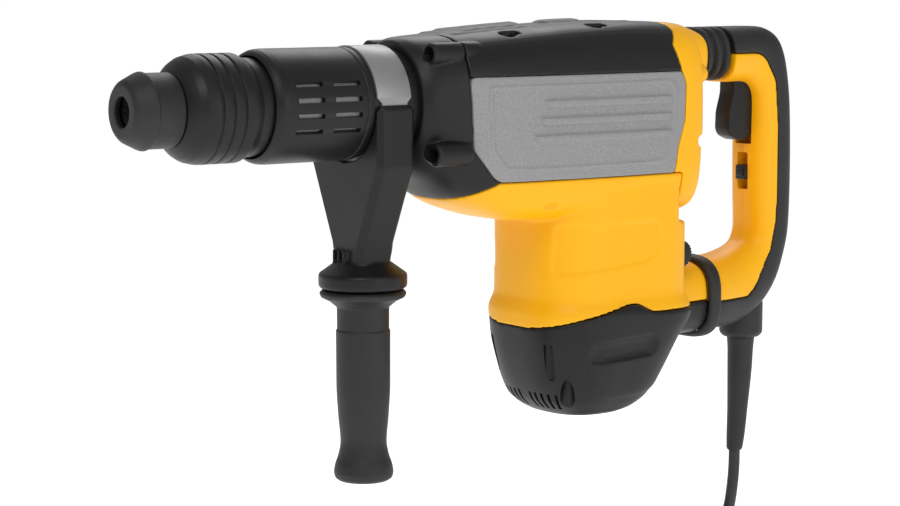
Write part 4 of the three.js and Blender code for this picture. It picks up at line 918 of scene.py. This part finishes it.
# %% Mode selector
def selector():
    profile = rounded([(40.8, 0), (40.8, 15), (43.8, 15), (43.8, 0)], 0.8, closed=False)
    disc = spun("mode_knob", profile, "Z", KNOB_SPOT, 64)
    bar = block("bar", (187, -3.6, 42.8), (213, 3.6, 48.2), 1.4)
    stem = peg("stem", "Z", KNOB_SPOT, 34.8, 41.5, 4)
    return moulded(gathered(disc, bar, stem), 0.5, 2)


placed(selector(), "selector", "black_plastic", "mode_selector")

# %% [markdown]
# ## The side panels
#
# Each side has a speckled grey plate with three raised bars and a fine raised line that follows its edge. The bars
# are the same skin a millimetre further out, cut by three flat outlines; the line is the difference of two outlines.

# %% Side panels
PANEL_LINE = [(62, 9.5), (64, -30), (74, -42), (112, -43), (204, -42.5), (207, -33), (212, -14), (213.5, 4), (210, 10)]


def bar_outline(front, middle):
    low, high = middle - 2.3, middle + 2.3
    return corners([(front, low), (208, low), (208, high), (front - 2, high)], 2, 3)


def side_panel(name, side):
    def half():
        return block("side", (-FAR, 20 if side > 0 else -FAR, -FAR), (FAR, FAR if side > 0 else -20, FAR))

    front = [(50.25, 12), (50.25, 10), (52.25, -29), (68, -47.4), (73, -50.3)]
    outline = corners([(52, 15.75)] + front + shifted(PANEL_END[:-1], -SEAM) + [(218.7, 15.75)], 2.5)
    panel = keep(casing(name), prism("region", outline), half())
    bars = [prism("bar", bar_outline(105 - 4 * i, -2 - 11 * i)) for i in range(3)]
    raised = keep(gathered(*bars), casing("proud", -1.9), half())
    line = prism("line", corners(PANEL_LINE, 4))
    centre = Vector((140, -16))
    narrower = [tuple(centre + (Vector(p) - centre) * 0.982) for p in PANEL_LINE]
    cut(line, prism("inner line", corners(narrower, 4), -FAR - 10, FAR + 10))
    keep(line, casing("proud line", -1.0), half())
    tear = spun("tear", [(-1, 0), (-1, 3.6), (0.6, 2.6), (0.9, 0)], "Y", (127, 0, -43.5), 24)
    if side < 0:
        tear.data.transform(Matrix.Scale(-1, 4, (0, 1, 0)))
        outward(tear)
    tear.data.transform(Matrix.Translation(metres(0, side * 50.8, 0)))
    gathered(panel, raised, line, tear)
    moulded(panel, 0.8, 2)
    return cut(panel, casing("back", 4.7))


for panel_name, panel_side in (("left", -1), ("right", 1)):
    made_panel = side_panel("side_plate_" + panel_name, panel_side)
    placed(made_panel, "housing", "panel_grey", "side_panel_" + panel_name, smooth_angle=50)

# %% [markdown]
# ## The motor's housing and cap
#
# Below the spindle line a yellow belly runs into an upright pot, rounder in front and squarer behind. Its foot flares
# over a black cap. The line between them is not level: it rises to a peak on each side, so both pieces are cut from
# the same skin by one drawn line.

# %% Pot
POT = [
    (-45, 121, 236, 50, 2.9, 5), (-122, 121, 236, 50, 2.9, 5), (-131, 120.8, 236.2, 50.2, 2.9, 5),
    (-138, 118.2, 238.8, 52.7, 2.9, 5), (-141, 117.5, 239.5, 53.5, 2.9, 5), (-153, 117.5, 239.5, 53.5, 2.9, 5),
]
CAP = POT[:-1] + [
    (-145.3, 117.8, 239.2, 53.2, 2.9, 5), (-160, 119.5, 230.5, 51, 3, 4.6), (-182, 123.5, 220.5, 46.5, 2.8, 4),
    (-198, 129.5, 212.5, 41.5, 2.8, 3.6), (-206, 137.5, 203.5, 36.5, 2.6, 3), (-210, 144.5, 195.5, 29.5, 2.5, 2.6),
]
FOOT_LINE = [
    (90, -152), (117, -150.8), (124, -147.6), (138, -143.4), (160, -138.4), (175, -135.2), (181, -135), (186, -137),
    (193, -141), (200, -141.4), (262.6, -141.4),
]
TAIL = [(205, 40, -116, -166, -141, 3), (236, 34, -116, -166, -141, 3), (262, 30, -116, -166, -141, 3)]
PLATE_LINE = [(127, -81), (201, -81), (208.4, -97), (193, -108.5), (125.8, -115.2)]


def pot_skin(name, stations, inset=0.0, count=128, steps=6):
    rings = []
    for z, front, rear, half, front_power, rear_power in between(stations, 0, steps):
        ring = []
        for c, s in directions(count):
            reach = reach_of(c, s, rear_power if c > 0 else front_power)
            x = (front + rear) / 2 + ((rear - front) / 2 - inset) * reach * c
            ring.append((x, (half - inset) * reach * s, z))
        rings.append(ring)
    return skinned(name, rings)


def foot_region(name, above):
    line = rounded(FOOT_LINE, 4, 4, closed=False)
    if above:
        return prism(name, shifted(line, z=0.25) + [(262.6, 90), (0, 90), (0, -152)])
    return prism(name, shifted(line, z=-0.25) + [(262.6, -300), (90, -300)])


def motor_housing():
    belly_line = shifted(list(reversed(BELLY_LINE)), SEAM)
    belly = keep(casing("motor_shell"), prism("belly", belly_line + [(220.7, -50.9), (220.7, -90), (46.3, -90)]))
    pot = cut(pot_skin("pot", POT), block("behind", (220.7, -FAR, -84), (FAR, FAR, 0)))
    cut(pot, block("above", (0, -FAR, -50.9), (FAR, FAR, 0)))
    tail = keep(skin_x("tail", TAIL), block("tail end", (208, -FAR, -170), (262, FAR, -100)))
    gathered(belly, pot, tail)
    welded(belly, 1.2)
    blank = cut(prism("blank", corners(PLATE_LINE, 5)), pot_skin("blank floor", POT, 0.9))
    notch = block("notch", (110, -FAR, -69.8), (119.5, 0, -66))
    cut(notch, casing("notch floor", 1.8))
    cut(belly, blank, notch)
    keep(belly, foot_region("foot", True))
    moulded(belly, 1.15, 3)
    dial = block("dial room", (222, -39, -116.5), (FAR, -29, -97.5), 1)
    return cut(belly, inside_casing((104, -FAR, -76), (217, FAR, -40)), motor_room(), dial)


def motor_room():
    room = pot_skin("motor room", POT, WALL, 48, 2)
    keep(room, block("room end", (0, -FAR, -160), (217, FAR, -49)))
    tongue = block("tongue room", (214, -10.4, -150.4), (FAR, 10.4, -131.6))
    return carve(room, "UNION", tongue)


motor_shell = motor_housing()
placed(motor_shell, "housing", "yellow_plastic", "motor_housing", smooth_angle=50)

# %% Motor cap
CAP_SCREWS = [(138, -33), (138, 33), (208, -33), (208, 33)]
CHEEK = [(181, -130), (186, -137), (193, -142), (240, -142), (236, -172), (215, -192), (200, -196), (163, -198),
         (150, -188), (143, -170), (138, -143)]


def racetrack(x0, z0, x1, z1, half):
    """A slot outline with round ends, from one end's centre to the other's."""
    turn = math.atan2(z1 - z0, x1 - x0)
    points = []
    for x, z, start in ((x1, z1, -90), (x0, z0, 90)):
        for step in range(9):
            angle = turn + math.radians(start + 22.5 * step)
            points.append((x + half * cos(angle), z + half * sin(angle)))
    return points


def cap_floor(outline, depth):
    """What must go from the cap to sink an outline to an even depth."""
    return cut(prism("sunk", outline), pot_skin("floor", CAP, depth))


def on_cap(tool, side, angle, z, lean):
    """Moves a cutter, drawn with +X outwards, to a spot on the front corner of the cap."""
    levels = [-station[0] for station in CAP]
    front, rear, half, power = [easing(levels, [station[k] for station in CAP], -z) for k in (1, 2, 3, 4)]
    length = (rear - front) / 2
    c, s = cos(math.radians(angle)), sin(math.radians(angle))
    reach = reach_of(c, s, power)
    spot = metres((front + rear) / 2 + length * reach * c, side * -half * reach * s, z)
    steep_x, steep_y = [(abs(v) * reach) ** (power - 1) for v in (c, s)]
    heading = math.atan2(side * steep_y / half, -steep_x / length)
    turn = Matrix.Rotation(heading, 4, "Z") @ Matrix.Rotation(math.radians(lean), 4, "Y")
    tool.data.transform(Matrix.Translation(spot) @ turn)
    return tool


def motor_cap():
    shell = pot_skin("motor_boot", CAP)
    tail = keep(skin_x("tail", TAIL), block("tail end", (216, -FAR, -170), (262, FAR, -100)))
    cheek = keep(prism("cheek", corners(CHEEK, 4, 3)), pot_skin("cheek skin", CAP, -0.9))
    gathered(shell, tail, cheek)
    welded(shell, 1.2)
    tools = [
        cap_floor(racetrack(152, -166, 193, -163.5, 7.2), 1.0),
        cap_floor(racetrack(153, -166, 192, -163.6, 4.6), 1.9),
    ]
    vents = []
    for side in (-1, 1):
        tall = block("tall slot", (-2.6, -3.3, -13), (6, 3.3, 13), 2.4)
        vents.append(on_cap(tall, side, 213, -172, lean=6.5))
        for angle in (188, 195, 202, 209, 216):
            vent = block("vent", (-2.4, -1.1, -7), (7, 1.1, 7))
            vents.append(on_cap(vent, side, angle, -200, lean=38))
    cut(shell, *tools)
    keep(shell, foot_region("under foot", False))
    moulded(shell, 1.15, 3)
    room = keep(pot_skin("cap room", CAP, WALL, 48, 2), block("room end", (0, -FAR, -206), (228, FAR, -100)))
    posts = [peg("post", "Z", (x, y, 0), -FAR, 0, 6.5) for x, y in CAP_SCREWS]
    cut(room, *posts)
    cut(shell, room, block("tongue room", (214, -10.4, -150.4), (FAR, 10.4, -131.6)))
    return cut(shell, *vents, *[peg("bore", "Z", (x, y, 0), -FAR, -165, 4.8) for x, y in CAP_SCREWS])


motor_boot = motor_cap()
placed(motor_boot, "housing", "black_plastic", "motor_cap", smooth_angle=50)

# %% [markdown]
# ## The rear cover
#
# The yellow rear cover wraps the end of the casing and reaches forward to the panels, and its lobe carries the
# bellows. A screw boss stands on the lobe, and the rear edge has a small notch.

# %% Rear cover
REAR_LINE = [
    (214, -50.6), (221.2, -50.6), (221.2, -83.7), (238.5, -83.7), (238.5, -35), (235, -33.5), (235, -28.5),
    (240, -27), (244.5, -25), (FAR, -25), (FAR, 80),
]
LOBE = [(222, 33, 47.5, 2, 24, 3), (244, 28, 46, 3, 24, 3), (263, 25, 41, 5, 24, 2.8), (266, 23, 39, 7, 24, 2.8)]


def rear_cover():
    front = shifted(list(reversed(COVER_END))[:-1] + list(reversed(PANEL_END)), SEAM)
    shell = keep(casing("rear_shell"), prism("region", front + REAR_LINE))
    bumps = [boss(238, 262, side * 25, 12, 6.5, dome=True) for side in (-1, 1)]
    gathered(shell, skin_x("lobe", LOBE), *bumps)
    moulded(shell, 1.0, 3)
    front_room = keep(casing("front room", 4.7), block("ahead", (0, -FAR, -FAR), (221.3, FAR, FAR)))
    rear_room = inside_casing((221, -FAR, -FAR), (236.8, FAR, FAR))
    return cut(shell, front_room, rear_room)


rear_shell = rear_cover()
placed(rear_shell, "housing", "yellow_plastic", "rear_cover", smooth_angle=50)

# %% Speed dial
def speed_dial():
    outline = []
    for i in range(72):
        angle = 2 * pi * i / 72
        reach = 9 if i % 3 else 8.1
        outline.append((231.5 + reach * cos(angle), -107 + reach * sin(angle)))
    wheel = prism("dial_wheel", outline, -38, -30)
    return modified(wheel, "BEVEL", width=0.5 * MM, segments=2, limit_method="ANGLE", angle_limit=math.radians(60))


placed(speed_dial(), "dial", "black_plastic", "speed_dial", smooth_angle=30)

# %% [markdown]
# ## The rear handle
#
# The handle is one ring swept round a D, from the bellows to the pivot. Pairs of points give its inner and outer
# edge, and a boxy oval is drawn across each pair. A line drawn from the side parts the yellow shells from the soft
# black grip behind them.

# %% Handle skin
LOOP = [
    (291, 5, 291, 43), (300, 4.6, 301, 43), (309, 4.4, 319, 43), (314, 3.4, 332, 42), (317.6, 0.6, 342, 36.5),
    (319.8, -4, 348, 26), (320.6, -12, 351.8, 11), (320.4, -25, 354.6, -9), (320, -48, 356, -40),
    (320.6, -74, 356, -74), (321.6, -92, 354.4, -101), (321.4, -99, 350, -119), (318.6, -105.5, 343, -136),
    (312.5, -109.5, 333, -149), (304, -112.4, 319, -159), (294, -114.8, 302, -164.6), (281, -116.2, 284, -165.7),
    (267, -116.3, 267, -165.7),
]
HALF_WIDTHS = [24, 22.5, 20, 19, 19, 19, 19, 19, 19, 19, 19, 19, 19.5, 20.5, 22, 24.5, 28, 29]
STRIP = [
    (281, 25), (317, 24.6), (324.5, 21), (334, 5.5), (336.6, -24), (336.8, -78), (335.8, -94), (331.6, -112),
    (315, -137), (306, -143.6), (240, -143.6),
]


def flowing(rows, steps):
    """A Catmull-Rom run through rows of numbers."""
    made = []
    last = len(rows) - 1
    for i in range(last):
        before, here, there, after = rows[max(i - 1, 0)], rows[i], rows[i + 1], rows[min(i + 2, last)]
        for s in range(steps):
            t = s / steps
            made.append(tuple(
                0.5 * (2 * b + (c - a) * t + (2 * a - 5 * b + 4 * c - d) * t * t + (3 * b - a - 3 * c + d) * t ** 3)
                for a, b, c, d in zip(before, here, there, after)
            ))
    return made + [rows[-1]]


def handle_skin(name):
    rings = []
    for xi, zi, xo, zo, half in flowing([row + (half,) for row, half in zip(LOOP, HALF_WIDTHS)], 5):
        reach = math.hypot(xo - xi, zo - zi) / 2
        ux, uz = (xo - xi) / (2 * reach), (zo - zi) / (2 * reach)
        section = oval(72, half, reach, reach, 2.7)
        rings.append([((xi + xo) / 2 + ux * w, y, (zi + zo) / 2 + uz * w) for y, w in section])
    return skinned(name, rings)


def shell_region(shift):
    line = [(x - shift, z - shift if z > 0 else z + shift) for x, z in STRIP]
    return prism("shell region", corners(line + [(240, 25 - shift)], 3))


def inner_rooms():
    return [
        block("tongue", (200, -10.6, -153), (290, 10.6, -129)),
        block("switch", (301.7, -9, 13.7), (333.3, 9, 22.8)),
    ]


def shell_rooms():
    rooms = inner_rooms()
    rooms.append(block("trigger", (301, -7.9, -39), (334, 7.9, 14)))
    rooms.append(block("slider", (310, -5.3, -71), (330, 5.3, -45), 1.5))
    rooms.append(peg("pin", "Y", (276, 0, -141), -26.3, 26.3, 4.3))
    return rooms


# %% Handle shells and soft grip
whole_shell = keep(handle_skin("handle_side_left"), shell_region(0.2))
moulded(whole_shell, 0.95, 3)
other_shell = twin(whole_shell, "handle_side_right")
for shell, low, high, solid in (
    (whole_shell, -FAR, -0.12, "handle_shell_left"),
    (other_shell, 0.12, FAR, "handle_shell_right"),
):
    keep(shell, block("half", (-FAR, low, -FAR), (FAR, high, FAR)))
    cut(shell, *shell_rooms())
    placed(shell, "rear_handle", "yellow_plastic", solid, smooth_angle=50)

soft_strip = cut(handle_skin("handle_soft_strip"), shell_region(-0.2))
moulded(soft_strip, 0.95, 3)
COLLAR = [(-175, 0), (-175, 12.5), (-172, 15.2), (-150, 15.2), (-146, 13), (-146, 0)]
collar_room = [(z, r + 0.3 if r else 0) for z, r in COLLAR]
cut(soft_strip, *inner_rooms(), spun("room", collar_room, "Z", (321, 0, 0), 64))
placed(soft_strip, "rear_handle", "black_rubber", "soft_grip", smooth_angle=50)
collar = spun("lead_collar", rounded(COLLAR, 1.6, closed=False), "Z", (321, 0, 0), 96)
placed(collar, "rear_handle", "black_rubber", "cord_collar", smooth_angle=60)

# %% Boot
BOOT = [
    (-175.6, 321, 9.7), (-185, 320.8, 9), (-196, 320.5, 8.7), (-224, 319, 7.3), (-254.4, 316.6, 5.7),
    (-256, 316.5, 4.9),
]


def cord_sleeve():
    stations = [(z, x - r, x + r, r, 2) for z, x, r in BOOT]
    return skin_z("cord_sleeve", stations, count=64, steps=14)


placed(cord_sleeve(), "rear_handle", "black_rubber", "cord_boot", smooth_angle=40)

# %% Trigger and lock
TRIGGER = [
    (304.4, 10.8), (304.2, -3.4), (300.4, -15.9), (300, -28.6), (302.6, -32.8), (310.4, -36.2), (318, -35.6),
    (325, -30), (325, 10.8),
]
trigger = prism("switch_lever", corners(TRIGGER, 3), -7.6, 7.6)
modified(trigger, "BEVEL", width=1.6 * MM, segments=3, limit_method="ANGLE", angle_limit=math.radians(50))
placed(trigger, "trigger", "black_plastic", "trigger", smooth_angle=40)
stem = block("lock_button", (318.2, -5, -64), (329, 5, -54), 0.8)
button = block("button", (316.7, -3.4, -61.5), (320, 3.4, -56.5), 0.8)
placed(gathered(stem, button), "lock", "black_plastic", "lock_slider", smooth_angle=40)

# %% [markdown]
# ## The soft joints
#
# The bellows lets the upper arm move; here its folds are one fixed skin between the casing and the handle, tied to no
# body. The seal round the lower arm stays with the casing.

# %% Bellows and seal
BELLOWS_START = 266.3
BELLOWS_END = 290.7
FOLDS = 3


def bellows_piece():
    rings = []
    for step in range(49):
        share = step / 48
        fold = 3.6 * (0.5 + 0.5 * cos(2 * pi * FOLDS * share)) ** 1.6
        section = oval(96, 22 - fold, 19 - fold, 18 - fold, 2.5)
        x = BELLOWS_START + (BELLOWS_END - BELLOWS_START) * share
        rings.append([(x, y, 24 + z) for y, z in section])
    return skinned("folded_bellows", rings)


bellows = bellows_piece()
placed(bellows, None, "black_rubber", "bellows", smooth_angle=60)
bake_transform(bellows)


def seal_ring(x, grow):
    return (x, 32 + grow, -114.5 + grow, -167.5 - grow, -141, 3)


SEAL = [(262.3, 0.4), (263.5, 1.6), (265.8, 2.2), (269, 2.2), (271.2, 1.6), (272.3, 0.4)]
seal = skin_x("arm_seal", [seal_ring(*ring) for ring in SEAL], steps=4)
cut(seal, skin_x("inside", [seal_ring(258, -1.6), seal_ring(280, -1.6)]))
placed(seal, "housing", "black_rubber", "lower_seal", smooth_angle=40)

# %% [markdown]
# ## The plug, the tie and the cord's facts
#
# The plug lies flat at the end of the lead, and a small tie holds the coil. A lead of this kind is about four metres
# long and eight millimetres thick.

# %% Plug and tie
PLUG = [
    (-0.3, 5.5, 5.5, -5.5, 0, 2), (6, 5.8, 5.8, -5.8, 0, 2), (14, 7, 7, -7, 0, 2.4), (20, 13, 9, -9, 0, 3),
    (42, 15, 9, -9, 0, 3), (46, 14, 8, -8, 0, 3),
]


def plug_body():
    body = skin_x("mains_plug", PLUG, count=64)
    welded(body, 0.7)
    grooves = [block("groove", (x, -FAR, 6.3), (x + 1.4, FAR, 20)) for x in (24, 28, 32)]
    cut(body, *grooves)
    moulded(body, 0.7, 2)
    gathered(body, *[block("blade", (40, y - 0.8, -3.2), (63, y + 0.8, 3.2), 0.3) for y in (-6.35, 6.35)])
    body.data.transform(Matrix.Translation(metres(197, 13, -352)) @ Matrix.Rotation(-pi / 2, 4, "Z"))
    return body


def coil_tie():
    outer = corners([(34.6, -361), (61.4, -361), (61.4, -327.6), (34.6, -327.6)], 3)
    inner = corners([(35.4, -360.6), (60.6, -360.6), (60.6, -328.4), (35.4, -328.4)], 3)
    band = cut(prism("coil_tie", outer, -3.5, 3.5), prism("tie hole", inner, -10, 10))
    turn = Matrix.Rotation(math.radians(-60), 4, "Z")
    band.data.transform(Matrix.Translation(metres(COIL_X, COIL_Y, 0)) @ turn)
    return band


plug = placed(plug_body(), "housing", "cord_rubber", "plug", smooth_angle=50)
tie = placed(coil_tie(), "housing", "black_rubber", smooth_angle=40)

# %% [markdown]
# ## Floor and light
#
# A pale floor runs to the horizon. One wide light from above and ahead models the shells, a second opens the side
# that faces the camera, and the sky fills the rest.

# %% Floor, lights and sky
FLOOR = bpy.data.materials.new("pale floor")
FLOOR.use_nodes = True
FLOOR_LOOK = {
    "Base Color": (0.92, 0.92, 0.92, 1), "Roughness": 0.8, "Emission Color": (1, 1, 1, 1), "Emission Strength": 0.62,
}
for name, value in FLOOR_LOOK.items():
    FLOOR.node_tree.nodes["Principled BSDF"].inputs[name].default_value = value
bpy.ops.mesh.primitive_plane_add(size=120, location=(0, 0, FLOOR_Z * MM))
floor = bpy.context.object
floor.name = "floor"
floor.data.materials.append(FLOOR)
bpy.ops.object.transform_apply(location=True, rotation=True, scale=True)


def soft_light(name, place, size, power):
    bpy.ops.object.light_add(type="AREA", location=place)
    light = bpy.context.object
    light.name = name
    light.data.size = size
    light.data.energy = power
    light.rotation_euler = (TARGET - Vector(place)).to_track_quat("-Z", "Y").to_euler()


soft_light("key", (-1.0, -1.1, 1.5), 1.0, 13)
soft_light("side", (0.5, -2.2, 0.5), 1.2, 7.5)
soft_light("rim", (0.9, 1.2, 1.2), 1.0, 9)
world = bpy.data.worlds.new("studio")
world.use_nodes = True
world.node_tree.nodes["Background"].inputs["Color"].default_value = (1, 1, 1, 1)
world.node_tree.nodes["Background"].inputs["Strength"].default_value = 0.42
bpy.context.scene.world = world
bpy.context.scene.view_settings.view_transform = "Standard"
